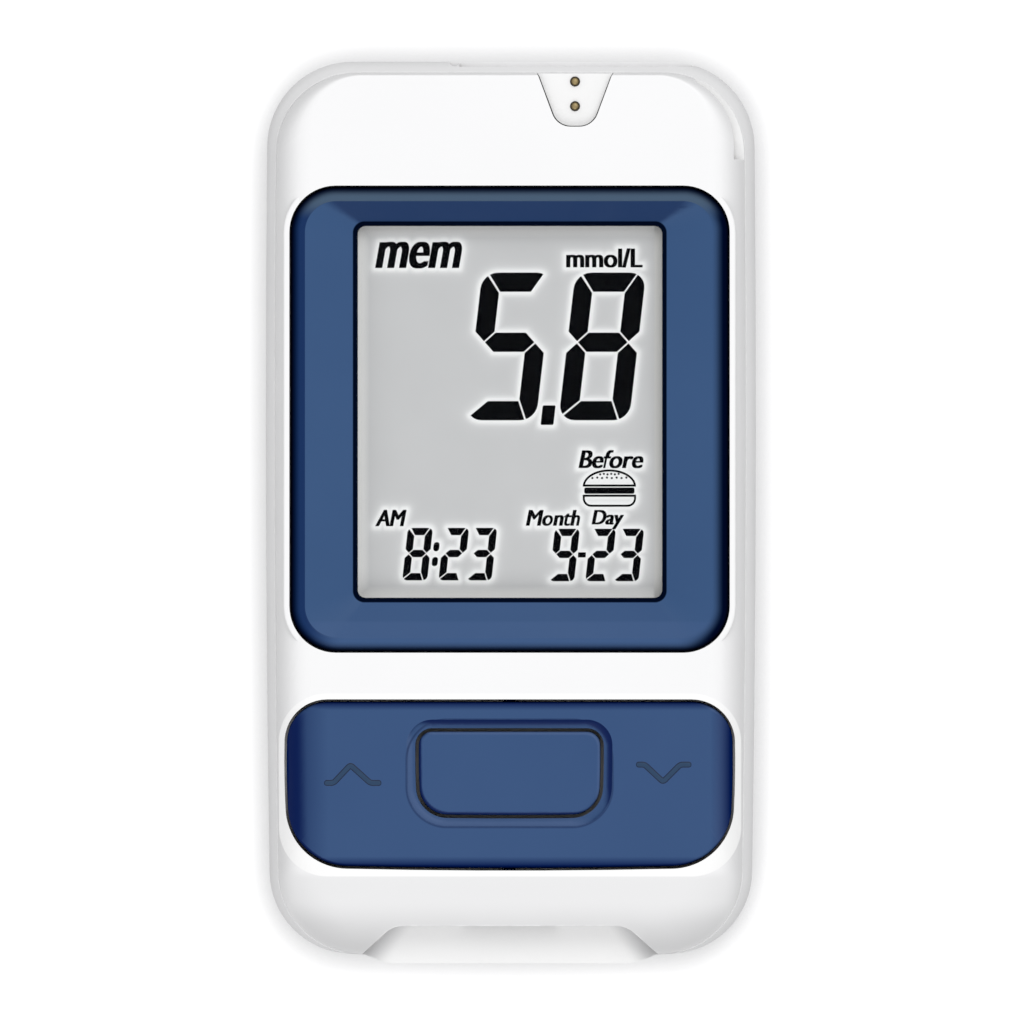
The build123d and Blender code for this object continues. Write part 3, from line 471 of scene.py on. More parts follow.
# tones painted on the casing: painted shade in the key well and on the foot below the keys, painted highlight
# on the well rim and the ledge, painted light on the strip landing and painted shade at its flanks
casingTones = {
    "well": paint(2, 6, 24),
    "wellReach": 0.7 * mm,
    "wellCorner": 4.2 * mm,
    "wellFloor": (13.0 * mm, 12.5 * mm),
    "rim": paint(254, 254, 254),
    "rimReach": 0.9 * mm,
    "foot": paint(236, 236, 237),
    "footTurn": 1.2 * mm,
    "footSides": (24.2 * mm, 21.0 * mm),
    "footEdge": paint(221, 221, 222),
    "footEdgeRun": (3.2 * mm, 6.4 * mm),
    "footRoll": paint(210, 210, 211),
    "ledge": paint(254, 254, 254),
    "ledgeLevel": 11.3 * mm,
    "ledgeHalf": 0.08 * mm,
    "ledgeFoot": (-40.0 * mm, -36.0 * mm),
    "landing": paint(253, 253, 253),
    "landingEdge": -42.4 * mm,
    "landingHalf": 17.5 * mm,
    "landingFoot": 4.0 * mm,
    "landingShade": paint(206, 206, 207),
    "shadeLean": 0.7,
    "shadeRun": (9.6 * mm, 12.6 * mm),
}


def insideFrame(tree, low, high, radius):
    middle = (low + high) / 2
    half = (high - low) / 2
    sockets = {
        "Centre X": middle.x,
        "Centre Y": middle.y,
        "Half X": half.x,
        "Half Y": half.y,
        "Radius": radius,
    }
    return effectNode(tree, "frameDistance", sockets).outputs[0]


def casingTone(tree, colour):
    # painted shade on the foot below the keys and where it rolls down, a painted highlight on the ledge
    # beside the seam and on the rim round the key well, and painted shade in the key well, as if it gets no
    # light
    place = objectPlace(tree)
    out = calc(tree, "ABSOLUTE", place["X"])
    middle = remap(tree, out, *casingTones["footSides"], kind="SMOOTHSTEP")
    foot = remap(tree, place["Y"], keyLow.y, keyLow.y - casingTones["footTurn"], kind="SMOOTHSTEP")
    foot = calc(tree, "MULTIPLY", foot, middle)
    colour = mixColour(tree, foot, colour, casingTones["foot"])
    start, full = casingTones["footEdgeRun"]
    footEdge = remap(tree, place["Y"], keyLow.y - start, keyLow.y - full, kind="SMOOTHSTEP")
    colour = mixColour(tree, footEdge, colour, casingTones["footEdge"])
    roll = effect(tree, "facing", X=0.0, Y=-1.0, Low=0.35, High=0.9)
    colour = mixColour(tree, roll, colour, casingTones["footRoll"])
    level = calc(tree, "ABSOLUTE", calc(tree, "SUBTRACT", place["Z"], casingTones["ledgeLevel"]))
    ledge = remap(tree, level, casingTones["ledgeHalf"], casingTones["ledgeHalf"] / 2)
    ledge = calc(tree, "MULTIPLY", ledge, remap(tree, place["X"], 0.0, 0.5 * mm))
    ledge = calc(tree, "MULTIPLY", ledge, remap(tree, place["Y"], *casingTones["ledgeFoot"]))
    colour = mixColour(tree, ledge, colour, casingTones["ledge"])
    around = insideFrame(tree, keyLow, keyHigh, casingTones["wellCorner"])
    rim = remap(tree, around, -casingTones["rimReach"], -casingTones["rimReach"] + 0.1 * mm)
    colour = mixColour(tree, rim, colour, casingTones["rim"])
    well = remap(tree, around, -casingTones["wellReach"], -casingTones["wellReach"] + 0.05 * mm)
    well = calc(tree, "MULTIPLY", well, effect(tree, "turnedAway", Level=0.25, Steep=0.1))
    bottom = remap(tree, place["Z"], *casingTones["wellFloor"])
    bottom = calc(tree, "MULTIPLY", remap(tree, around, -0.08 * mm, 0.0), bottom)
    well = calc(tree, "MAXIMUM", well, bottom)
    return mixColour(tree, well, colour, casingTones["well"]), well


def landingTone(tree, colour):
    # painted light makes the strip landing whiter than the rest of the back, and painted shade makes it
    # greyer towards its flanks
    place = objectPlace(tree)
    edge, half = casingTones["landingEdge"], casingTones["landingHalf"]
    out = calc(tree, "ABSOLUTE", place["X"])
    along = remap(tree, place["Y"], edge, edge - 0.3 * mm)
    across = remap(tree, out, half, half - 0.5 * mm)
    foot = casingTones["landingFoot"]
    above = remap(tree, place["Z"], foot, foot + 0.5 * mm)
    landing = calc(tree, "MULTIPLY", calc(tree, "MULTIPLY", along, across), above)
    colour = mixColour(tree, landing, colour, casingTones["landing"])
    lean = calc(tree, "MULTIPLY", calc(tree, "SUBTRACT", edge, place["Y"]), casingTones["shadeLean"])
    flank = calc(tree, "SUBTRACT", out, lean)
    flank = remap(tree, flank, *casingTones["shadeRun"], kind="SMOOTHSTEP")
    shade = calc(tree, "MULTIPLY", landing, flank)
    return mixColour(tree, shade, colour, casingTones["landingShade"]), None


casingWhite = mouldedPlastic("casingWhite", casingLook, casingTone)

# the back half has a coarser eroded texture and picks up more scratches from the table it rests on
casingBackLook = dict(
    casingLook,
    creases="ownCreaseDust",
    otherColour=paint(243, 243, 244),
    grainScale=3600.0,
    grainDepth=0.008 * mm,
    scratchShare=0.5,
    roughness=0.5,
)
casingBack = mouldedPlastic("casingBack", casingBackLook, landingTone)

insertLook = dict(casingLook, roughness=0.34, grainDepth=0.002 * mm, otherColour=paint(245, 245, 244))
insertWhite = mouldedPlastic("insertWhite", insertLook)

holderLook = dict(
    casingLook,
    colour=paint(226, 226, 222),
    otherColour=paint(216, 216, 212),
    depthColour=paint(10, 14, 26),
    roughness=0.55,
)
holderWhite = mouldedPlastic("holderWhite", holderLook)

# the turned-away colour, the seam colour and the gap colour are painted shade, and the edge colour is wear
# with a painted highlight
blueLook = {
    "colour": paint(55, 85, 127),
    "otherColour": paint(52, 82, 124),
    "awayColour": paint(6, 22, 58),
    "level": 0.82,
    "steep": 0.3,
    "creases": "creaseDust",
    "dustColour": paint(10, 18, 44),
    "dustShare": 0.6,
    "depthColour": paint(2, 4, 14),
    "depthShare": 0.95,
    "seamReach": 0.7 * mm,
    "rubColour": paint(84, 110, 150),
    "rubShare": 0.3,
    "rubRadius": 0.15 * mm,
    "driftScale": 55.0,
    "smudgeScale": 70.0,
    "smudgeGloss": 0.08,
    "scratchShare": 0.3,
    "roughness": 0.48,
    "grainScale": 5200.0,
    "grainDepth": 0.004 * mm,
    "specular": 0.15,
}
bezelLow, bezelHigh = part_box("display_bezel")
bezelShape = {
    "cornerRadius": 4.7 * mm,
    "rimWidth": 1.4 * mm,
    "rimFootFrom": -11.1 * mm,
    "windowCorner": 0.8 * mm,
    "windowLine": 0.4 * mm,
}
# painted light and shade on the bezel: darker top and foot slopes, a lighter right slope, a shaded left rim,
# a highlighted top rim, a lighter lower part, shade where the rim falls off, and a shade line round the
# window
bezelTones = {
    "slopeTop": paint(18, 50, 94),
    "slopeFoot": paint(43, 74, 120),
    "slopeRight": paint(62, 88, 134),
    "rimLeft": paint(0, 40, 88),
    "rimTop": paint(66, 87, 110),
    "rimFoot": paint(57, 86, 129),
    "rimEdge": paint(0, 8, 36),
    "windowLine": paint(2, 10, 30),
}
# painted light and shade on the keys: navy shade at the ends and borders, a shaded and a lit side of the
# dished ring with a shade line round it, and dark walls where no light gets in
keyTones = {
    "end": paint(0, 22, 76),
    "ringDark": paint(0, 28, 82),
    "ringLight": paint(72, 96, 138),
    "ringLine": paint(16, 38, 80),
    "wall": paint(1, 7, 34),
}
buttonLow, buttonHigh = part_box("main_button")
ringShape = {"width": 1.25 * mm, "corner": 2.9 * mm, "line": 0.16 * mm}


def bezelTone(tree, colour):
    # painted light and shade: each slope is shaded by the way it faces, the rims are lit or shaded by side
    # and fall off into painted shade at the seam, and a line of painted shade runs round the window
    for tone, x, y in (("slopeTop", 0.0, -1.0), ("slopeFoot", 0.0, 1.0), ("slopeRight", -1.0, 0.0)):
        slope = effect(tree, "facing", X=x, Y=y, Low=0.3, High=0.5)
        colour = mixColour(tree, slope, colour, bezelTones[tone])
    place = objectPlace(tree)
    width = bezelShape["rimWidth"]
    inside = insideFrame(tree, bezelLow, bezelHigh, bezelShape["cornerRadius"])
    rim = remap(tree, inside, 1.1 * width, 1.05 * width)
    sides = {
        "left": remap(tree, place["X"], bezelLow.x + 4 * width, bezelLow.x + width, kind="SMOOTHSTEP"),
        "right": remap(tree, place["X"], bezelHigh.x - 4 * width, bezelHigh.x - width, kind="SMOOTHSTEP"),
        "top": remap(tree, place["Y"], bezelHigh.y - 2.5 * width, bezelHigh.y - width, kind="SMOOTHSTEP"),
    }
    rimFoot = remap(tree, place["Y"], bezelShape["rimFootFrom"], bezelShape["rimFootFrom"] - 0.3 * mm)
    colour = mixColour(tree, rimFoot, colour, bezelTones["rimFoot"])
    colour = mixColour(tree, calc(tree, "MULTIPLY", rim, sides["left"]), colour, bezelTones["rimLeft"])
    colour = mixColour(tree, calc(tree, "MULTIPLY", rim, sides["top"]), colour, bezelTones["rimTop"])
    fall = remap(tree, inside, 0.8 * width, -0.05 * width, kind="SMOOTHSTEP")
    rightFall = remap(tree, inside, 1.3 * width, 0.35 * width, kind="SMOOTHSTEP")
    narrowFall = remap(tree, inside, 0.8 * width, 0.1 * width, kind="SMOOTHSTEP")
    fall = put(tree, "Mix", {0: sides["right"], 2: fall, 3: rightFall}, data_type="FLOAT").outputs[0]
    upperLeft = calc(tree, "MAXIMUM", sides["left"], sides["top"])
    fall = put(tree, "Mix", {0: upperLeft, 2: fall, 3: narrowFall}, data_type="FLOAT").outputs[0]
    colour = mixColour(tree, fall, colour, bezelTones["rimEdge"])
    line = bezelShape["windowLine"]
    window = insideFrame(tree, windowLow, windowHigh, bezelShape["windowCorner"])
    outline = remap(tree, window, -line - 0.05 * mm, -line + 0.05 * mm)
    colour = mixColour(tree, outline, colour, bezelTones["windowLine"])
    return colour, calc(tree, "MAXIMUM", fall, outline)


# borders of the key panel, where painted shade comes in: axis, edge, from where to where the navy comes in,
# and how strong it gets
keyBorders = [
    ("X", keyLow.x, 4.3 * mm, 0.15 * mm, 0.7),
    ("X", keyHigh.x, -2.25 * mm, -0.25 * mm, 1.0),
    ("X", keyLow.x, 0.6 * mm, 0.1 * mm, 1.0),
    ("Y", keyLow.y, 1.2 * mm, 0.2 * mm, 1.0),
    ("Y", keyHigh.y, -0.9 * mm, -0.1 * mm, 1.0),
]


def keyTone(tree, colour):
    # painted light and shade: the dished ring is shaded above and lit below, the borders roll down into
    # painted navy shade, and the walls are painted dark as if they get no light
    dark = effect(tree, "facing", X=-0.7, Y=-0.7, Low=0.08, High=0.4)
    light = effect(tree, "facing", X=0.7, Y=0.7, Low=0.08, High=0.4)
    colour = mixColour(tree, dark, colour, keyTones["ringDark"])
    colour = mixColour(tree, light, colour, keyTones["ringLight"])
    around = insideFrame(tree, buttonLow, buttonHigh, ringShape["corner"])
    offLine = calc(tree, "ABSOLUTE", calc(tree, "ADD", around, ringShape["width"]))
    line = remap(tree, offLine, ringShape["line"], 0.3 * ringShape["line"], 0.0, 0.6)
    line = calc(tree, "MULTIPLY", line, calc(tree, "SUBTRACT", 1.0, dark))
    colour = mixColour(tree, line, colour, keyTones["ringLine"])
    place = objectPlace(tree)
    borders = [
        remap(tree, place[axis], edge + start, edge + full, 0.0, strength)
        for axis, edge, start, full, strength in keyBorders
    ]
    border = borders[0]
    for other in borders[1:]:
        border = calc(tree, "MAXIMUM", border, other)
    colour = mixColour(tree, border, colour, keyTones["end"])
    wall = effect(tree, "turnedAway", Level=0.35, Steep=0.15)
    return mixColour(tree, wall, colour, keyTones["wall"]), calc(tree, "MAXIMUM", border, wall)


bezelBlue = mouldedPlastic("bezelBlue", blueLook, bezelTone)
keyLook = dict(
    blueLook,
    colour=paint(55, 83, 126),
    otherColour=paint(52, 80, 123),
    awayColour=paint(6, 32, 82),
    roughness=0.52,
)
keyBlue = mouldedPlastic("keyBlue", keyLook, keyTone)

chipLook = dict(
    blueLook,
    colour=paint(34, 34, 37),
    otherColour=paint(42, 42, 45),
    awayColour=paint(26, 26, 28),
    rubColour=paint(90, 90, 94),
    roughness=0.6,
    grainDepth=0.01 * mm,
)
chipBlack = mouldedPlastic("chipBlack", chipLook)
connectorLook = dict(chipLook, colour=paint(25, 26, 28), otherColour=paint(32, 33, 36), roughness=0.45)
connectorBlack = mouldedPlastic("connectorBlack", connectorLook)
plungerLook = dict(
    blueLook,
    colour=paint(176, 140, 92),
    otherColour=paint(166, 130, 84),
    awayColour=paint(140, 106, 66),
    rubColour=paint(204, 176, 132),
    dustColour=paint(90, 66, 40),
)
plungerTan = mouldedPlastic("plungerTan", plungerLook)
elastomerLook = dict(
    blueLook,
    colour=paint(206, 132, 138),
    otherColour=paint(196, 122, 130),
    awayColour=paint(170, 98, 106),
    rubColour=paint(222, 160, 164),
    dustColour=paint(120, 66, 72),
    roughness=0.7,
)
elastomerPink = mouldedPlastic("elastomerPink", elastomerLook)

# the dirt colour is painted shade in creases, and the edge colour painted shade on edges that turn away
goldLook = {
    "colour": (0.42, 0.30, 0.13, 1.0),
    "otherColour": (0.34, 0.23, 0.09, 1.0),
    "dirtColour": (0.05, 0.035, 0.015, 1.0),
    "edgeColour": (0.3, 0.2, 0.08, 1.0),
    "edgeLevel": 0.7,
    "driftScale": 1500.0,
    "scratchScale": 2400.0,
    "roughness": 0.34,
}
contactGold = metalSheet("contactGold", goldLook)
pinLook = dict(
    goldLook,
    colour=(0.34, 0.27, 0.14, 1.0),
    otherColour=(0.26, 0.2, 0.1, 1.0),
    edgeColour=(0.035, 0.025, 0.012, 1.0),
    edgeLevel=0.95,
    roughness=0.4,
)
pinBrass = metalSheet("pinBrass", pinLook)
nickelLook = dict(
    goldLook,
    colour=(0.62, 0.6, 0.55, 1.0),
    otherColour=(0.54, 0.52, 0.48, 1.0),
    edgeColour=(0.48, 0.46, 0.42, 1.0),
    roughness=0.26,
)
springNickel = metalSheet("springNickel", nickelLook)
canLook = dict(
    nickelLook,
    colour=(0.58, 0.58, 0.58, 1.0),
    otherColour=(0.5, 0.5, 0.51, 1.0),
    driftScale=200.0,
)
canSteel = metalSheet("canSteel", canLook)
screwLook = dict(canLook, colour=(0.42, 0.42, 0.43, 1.0), otherColour=(0.34, 0.34, 0.35, 1.0), roughness=0.3)
screwSteel = metalSheet("screwSteel", screwLook)


def buildBoardGreen():
    # solder mask over copper tracks
    look = {
        "mask": paint(26, 96, 62),
        "otherMask": paint(20, 82, 52),
        "track": paint(52, 128, 84),
        "pitch": 620.0,
    }
    material, tree, shader, output = startMaterial("boardGreen")
    place = put(tree, "TexCoord").outputs["Object"]
    sockets = {
        "Vector": place,
        "Scale": look["pitch"],
        "Mortar Size": 0.16,
        "Brick Width": 2.4,
        "Row Height": 0.5,
    }
    tracks = put(tree, "TexBrick", sockets, offset=0.37).outputs["Fac"]
    drift = effect(tree, "toneDrift", Scale=120.0)
    colour = mixColour(tree, drift, look["mask"], look["otherMask"])
    colour = mixColour(tree, tracks, colour, look["track"])
    rough = smudgedRoughness(tree, 200.0, 0.38, 0.28)
    normal = surfaceBump(tree, tracks, 0.02 * mm)
    fill(tree, shader, {"Base Color": colour, "Roughness": rough, "Normal": normal})
    return material


def buildGlass(name, look):
    # clear pane with faint wipe marks; lamps reach what is behind it
    material, tree, shader, output = startMaterial(name)
    rough = smudgedRoughness(tree, look["smudgeScale"], 0.01, look["smudgeRough"])
    scratch = effect(tree, "hairScratches", Scale=300.0, Amount=look["scratchRough"])
    rough = calc(tree, "ADD", rough, scratch, clamp=True)
    fill(tree, shader, {
        "Base Color": look["tint"],
        "Roughness": rough,
        "IOR": look["ior"],
        "Transmission Weight": 1.0,
        "Specular IOR Level": look["specular"],
    })
    rays = put(tree, "LightPath").outputs
    through = calc(tree, "MAXIMUM", rays["Is Shadow Ray"], rays["Is Diffuse Ray"])
    clear = put(tree, "BsdfTransparent", {"Color": look["tint"]}).outputs[0]
    mixed = put(tree, "MixShader", {0: through, 1: shader.outputs[0], 2: clear}).outputs[0]
    tree.links.new(mixed, output.inputs["Surface"])
    return material


lensLook = {
    "tint": (0.99, 0.995, 0.995, 1.0),
    "ior": 1.1,
    "specular": 0.0,
    "smudgeScale": 60.0,
    "smudgeRough": 0.022,
    "scratchRough": 0.01,
}
lensClear = buildGlass("lensClear", lensLook)
cellGlass = buildGlass("cellGlass", dict(lensLook, tint=(0.94, 0.97, 0.95, 1.0), ior=1.5))


def buildFilm(name, look):
    # thin optical film: a slight mottled grey under a smooth skin
    material, tree, shader, output = startMaterial(name)
    drift = effect(tree, "toneDrift", Scale=300.0, Contrast=0.3)
    colour = mixColour(tree, drift, look["colour"], look["otherColour"])
    rough = smudgedRoughness(tree, 150.0, look["roughness"], look["roughness"] + 0.1)
    fill(tree, shader, {"Base Color": colour, "Roughness": rough, "Metallic": look["metallic"]})
    return material


filmGreyLook = {
    "colour": paint(196, 197, 196),
    "otherColour": paint(190, 191, 191),
    "roughness": 0.4,
    "metallic": 0.0,
}
filmGrey = buildFilm("filmGrey", filmGreyLook)
filmSilver = buildFilm("filmSilver", dict(filmGreyLook, roughness=0.3, metallic=1.0))
boardGreen = buildBoardGreen()

nodeFinish = {
    "front_casing": casingWhite,
    "rear_casing": casingBack,
    "battery_cover": casingBack,
    "display_bezel": bezelBlue,
    "rocker_key": keyBlue,
    "main_button": keyBlue,
    "display_lens": lensClear,
    "lcd_front_glass": cellGlass,
    "lcd_rear_glass": cellGlass,
    "lcd_polarizer": filmGrey,
    "lcd_reflector": filmSilver,
    "lcd_holder": holderWhite,
    "lcd_connector_strip": elastomerPink,
    "main_board": boardGreen,
    "controller_chip": chipBlack,
    "memory_chip": chipBlack,
    "front_end_chip": chipBlack,
    "crystal": canSteel,
    "buzzer": chipBlack,
    "switch_housing": connectorBlack,
    "switch_plunger": plungerTan,
    "strip_connector_housing": connectorBlack,
    "strip_contact": contactGold,
    "data_port_insert": insertWhite,
    "data_pin": pinBrass,
    "coin_cell": canSteel,
    "cell_contact": springNickel,
    "rim_contact": springNickel,
    "casing_screw": screwSteel,
}
for nodeName, node in nodes.items():
    finish = [nodeFinish[start] for start in nodeFinish if nodeName.startswith(start)][0]
    for slotNumber in range(len(node.data.materials)):
        node.data.materials[slotNumber] = finish
print("stage: node materials")


def finishPiece(piece, material, body):
    # places a finished piece in its body with its material and smooth shading, less any broken face
    deselectAll()
    piece.data.validate()
    piece.data.materials.clear()
    piece.data.materials.append(material)
    activate(piece)
    bpy.ops.object.shade_smooth_by_angle(angle=radians(35))
    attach(piece, body)
    deselectAll()
    return piece


# levels of the display, from the frame
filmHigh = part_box("lcd_polarizer")[1]
inkLevel = filmHigh.z + 0.03 * mm
inkThickness = 0.02 * mm


def buildSegmentInk():
    # black of the lit segments, with a slightly uneven depth
    look = {"colour": paint(1, 1, 2), "otherColour": paint(5, 6, 9), "roughness": 0.8}
    material, tree, shader, output = startMaterial("segmentInk")
    drift = effect(tree, "toneDrift", Scale=420.0, Contrast=0.25)
    colour = mixColour(tree, drift, look["colour"], look["otherColour"])
    rough = smudgedRoughness(tree, 260.0, look["roughness"], look["roughness"] + 0.1)
    fill(tree, shader, {"Base Color": colour, "Roughness": rough, "Specular IOR Level": 0.0})
    return material


segmentInk = buildSegmentInk()
inkPieces = []


def layInk(piece):
    # thickens a flat shape and lays it on the display film
    applyModifier(piece, "SOLIDIFY", thickness=inkThickness, offset=1.0)
    piece.data.transform(Matrix.Translation((0, 0, inkLevel)))
    inkPieces.append(finishPiece(piece, segmentInk, "casing"))


# seven-segment digits: seven bars modelled once for each size, then copied into the figures
bigDigit = {
    "width": 7.28 * mm,
    "height": 15.19 * mm,
    "bar": 1.96 * mm,
    "gap": 0.17 * mm,
    "middleRise": 0.43 * mm,
    "corner": 1.65 * mm,
    "slant": 0.115,
}
smallDigit = {
    "width": 2.57 * mm,
    "height": 5.39 * mm,
    "bar": 0.74 * mm,
    "gap": 0.12 * mm,
    "middleRise": 0.06 * mm,
    "corner": 0.5 * mm,
    "slant": 0.11,
}
cutAngles = {(-1, 1): 52.6, (1, 1): 59.0, (-1, -1): 41.5, (1, -1): 66.0}
barsOfFigure = {2: "abged", 3: "abgcd", 5: "afgcd", 8: "abcdefg", 9: "abcdfg"}


def barCuts(digit):
    halfWidth, halfHeight, bar = digit["width"] / 2, digit["height"] / 2, digit["bar"]
    middle, half = digit["middleRise"], digit["gap"] / 2
    cuts = {
        "a": [((0, halfHeight - bar, 0), (0, -1, 0))],
        "d": [((0, bar - halfHeight, 0), (0, 1, 0))],
        "g": [((0, middle + bar / 2, 0), (0, 1, 0)), ((0, middle - bar / 2, 0), (0, -1, 0))],
    }
    uprights = {(-1, 1): "f", (-1, -1): "e", (1, 1): "b", (1, -1): "c"}
    for (side, end), name in uprights.items():
        angle = radians(cutAngles[(side, end)])
        corner = Vector((side * (halfWidth - bar), end * (halfHeight - bar), 0))
        toUpright = Vector((side * sin(angle), -end * cos(angle), 0))
        cuts["a" if end > 0 else "d"].append((corner - toUpright * half, toUpright))
        meeting = Vector((side * (halfWidth - bar / 2), middle, 0))
        foot = meeting + Vector((0, end * half * sqrt(2), 0))
        cuts[name] = [
            (corner, (-side, 0, 0)),
            (corner + toUpright * half, -toUpright),
            (foot, (1, -end, 0)),
            (foot, (-1, -end, 0)),
        ]
        tip = meeting - Vector((side * half * sqrt(2), 0, 0))
        cuts["g"].append((tip, (side, end, 0)))
    return cuts


def buildBars(digit):
    plate = addPlate("digitPlate", (0, 0), (digit["width"], digit["height"]))
    roundCorners(digit["corner"], 6)
    deselectAll()
    bars = {}
    for name, cuts in barCuts(digit).items():
        bars[name] = copyPiece(plate, "digitBar_" + name)
        editPiece(bars[name])
        cutPlate(cuts)
    deselectAll()
    discard([plate])
    return bars


def buildFigure(name, digit, bars, figure, x, y):
    copies = [copyPiece(bars[bar], name) for bar in barsOfFigure[figure]]
    piece = joinPieces(name, copies)
    slope = Matrix.Shear("XZ", 4, (0, 0))
    slope[0][1] = digit["slant"]
    piece.data.transform(Matrix.Translation((x * mm, y * mm, 0)) @ slope)
    layInk(piece)


figures = {
    "resultTens": (bigDigit, 5, -0.09, 17.07),
    "resultOnes": (bigDigit, 8, 9.5, 17.07),
    "clockHour": (smallDigit, 8, -9.52, -4.31),
    "clockTens": (smallDigit, 2, -5.79, -4.31),
    "clockOnes": (smallDigit, 3, -2.9, -4.31),
    "dateMonth": (smallDigit, 9, 5.61, -4.4),
    "dateTens": (smallDigit, 2, 9.33, -4.4),
    "dateOnes": (smallDigit, 3, 12.23, -4.4),
}
barSets = {id(bigDigit): buildBars(bigDigit), id(smallDigit): buildBars(smallDigit)}
for name, (digit, figure, x, y) in figures.items():
    buildFigure(name, digit, barSets[id(digit)], figure, x, y)
for bars in barSets.values():
    discard(list(bars.values()))

# points between the figures: centre, size and corner cut in mm, and slant
points = {
    "resultPoint": ((3.92, 10.0), (1.32, 2.0), 0.12, 0.115),
    "clockColonUpper": ((-7.58, -3.55), (0.6, 0.94), 0.26, 0.11),
    "clockColonLower": ((-7.74, -5.08), (0.6, 0.94), 0.26, 0.11),
    "dateDash": ((7.4, -4.39), (0.8, 0.52), 0.05, 0.05),
}
for name, (centre, size, corner, slant) in points.items():
    piece = addPlate(name, (0, 0), (size[0] * mm, size[1] * mm))
    roundCorners(corner * mm, 2)
    deselectAll()
    slope = Matrix.Identity(4)
    slope[0][1] = slant
    piece.data.transform(Matrix.Translation((centre[0] * mm, centre[1] * mm, 0)) @ slope)
    layInk(piece)
print("stage: figures,", len(inkPieces), "pieces")

# function words of the display, each fitted to its place; weight is how much bolder than the plain letters
labels = {
    "memoryWord": {
        "words": "mem", "low": (-13.89, 25.1), "high": (-4.93, 27.85), "weight": 0.34, "lean": 0.24,
    },
    "unitWord": {"words": "mmol/L", "low": (5.78, 25.19), "high": (13.65, 27.16), "weight": 0.2, "lean": 0.0},
    "mealWord": {"words": "Before", "low": (7.05, 4.53), "high": (13.74, 6.39), "weight": 0.18, "lean": 0.22},
    "morningWord": {
        "words": "AM", "low": (-13.88, -1.43), "high": (-10.65, 0.25), "weight": 0.17, "lean": 0.24,
    },
    "monthWord": {"words": "Month", "low": (1.63, -1.4), "high": (7.3, 0.23), "weight": 0.17, "lean": 0.22},
    "dayWord": {"words": "Day", "low": (8.4, -1.75), "high": (11.75, 0.23), "weight": 0.17, "lean": 0.22},
}


def buildLabel(name, look):
    deselectAll()
    bpy.ops.object.text_add()
    piece = bpy.context.object
    piece.data.body = look["words"]
    piece.data.shear = look["lean"]
    piece.data.resolution_u = 5
    activate(piece)
    bpy.ops.object.convert(target="MESH")
    piece = bpy.context.object
    piece.name = name
    piece.data.name = name
    editPiece(piece)
    bpy.ops.mesh.remove_doubles(threshold=0.0001)
    deselectAll()
    weight = look["weight"] * mm
    low = Vector([min(vertex.co[axis] for vertex in piece.data.vertices) for axis in range(2)])
    high = Vector([max(vertex.co[axis] for vertex in piece.data.vertices) for axis in range(2)])
    wantLow = Vector(look["low"]) * mm
    wantHigh = Vector(look["high"]) * mm - Vector((weight, 0))
    spread = [(wantHigh[axis] - wantLow[axis]) / (high[axis] - low[axis]) for axis in range(2)]
    fit = Matrix.Diagonal((spread[0], spread[1], 1, 1))
    shift = Matrix.Translation((wantLow.x - low.x * spread[0], wantLow.y - low.y * spread[1], 0))
    piece.data.transform(shift @ fit)
    applyModifier(piece, "SOLIDIFY", thickness=inkThickness, offset=1.0)
    # further copies beside the first thicken every upright stroke
    plain = copyPiece(piece, name + "Plain")
    for share in (0.5, 1.0):
        twin = copyPiece(plain, name + "Twin")
        twin.data.transform(Matrix.Translation((share * weight, 0, 0)))
        applyModifier(piece, "BOOLEAN", object=twin, operation="UNION", solver="EXACT")
        discard([twin])
    discard([plain])
    piece.data.transform(Matrix.Translation((0, 0, inkLevel)))
    inkPieces.append(finishPiece(piece, segmentInk, "casing"))


for name, look in labels.items():
    buildLabel(name, look)
print("stage: display words")

# meal sign: an outlined bun over a filled layer over an outlined base
mealSign = {
    "x": 10.23 * mm,
    "bunFoot": 2.65 * mm,
    "bunHalf": 2.74 * mm,
    "bunRise": 1.75 * mm,
    "line": 0.2 * mm,
    "seed": 0.11 * mm,
    "layer": (2.225 * mm, 5.16 * mm, 0.62 * mm),
    "base": (1.186 * mm, 5.48 * mm, 1.23 * mm),
}


def hollowOut(width):
    # keeps a line of the given width along the outline
    bpy.ops.mesh.select_all(action="SELECT")
    bpy.ops.mesh.inset(thickness=width)
    bpy.ops.mesh.delete(type="FACE")


def buildMealSign():
    x = mealSign["x"]
    deselectAll()
    bpy.ops.mesh.primitive_circle_add(vertices=64, radius=1, fill_type="NGON")
    bun = bpy.context.object
    editPiece(bun)
    bpy.ops.transform.resize(value=(mealSign["bunHalf"], mealSign["bunRise"], 1))
    bpy.ops.transform.translate(value=(x, mealSign["bunFoot"], 0))
    cutPlate([((x, mealSign["bunFoot"], 0), (0, -1, 0))])
    hollowOut(mealSign["line"])
    parts = [bun]
    middle, width, height = mealSign["layer"]
    parts.append(addPlate("mealLayer", (x, middle), (width, height)))
    roundCorners(0.18 * mm, 4)
    middle, width, height = mealSign["base"]
    base = addPlate("mealBase", (x, middle), (width, height))
    pick(base, "VERT", lambda place, item: place.y < middle)
    roundCorners(0.85 * mm, 6)
    hollowOut(mealSign["line"])
    parts.append(base)
    deselectAll()
    bpy.ops.mesh.primitive_circle_add(vertices=8, radius=mealSign["seed"], fill_type="NGON")
    seed = bpy.context.object
    for count, pitch, rise in ((8, 0.5, 0.87), (6, 0.38, 1.25)):
        for step in range(count):
            dot = copyPiece(seed, "mealSeed")
            along = (step - (count - 1) / 2) * pitch * mm
            lift = (rise + 0.05 * (step % 2)) * mm
            dot.data.transform(Matrix.Translation((x + along, mealSign["bunFoot"] + lift, 0)))
            parts.append(dot)
    discard([seed])
    layInk(joinPieces("mealSign", parts))


buildMealSign()

# face of the display: a fine grid carrying a painted glow that fades round every inked shape
displayFace = {
    "step": 0.17 * mm,
    "overlap": 0.6 * mm,
    "glowReach": 0.42 * mm,
    "level": filmHigh.z + 0.012 * mm,
}


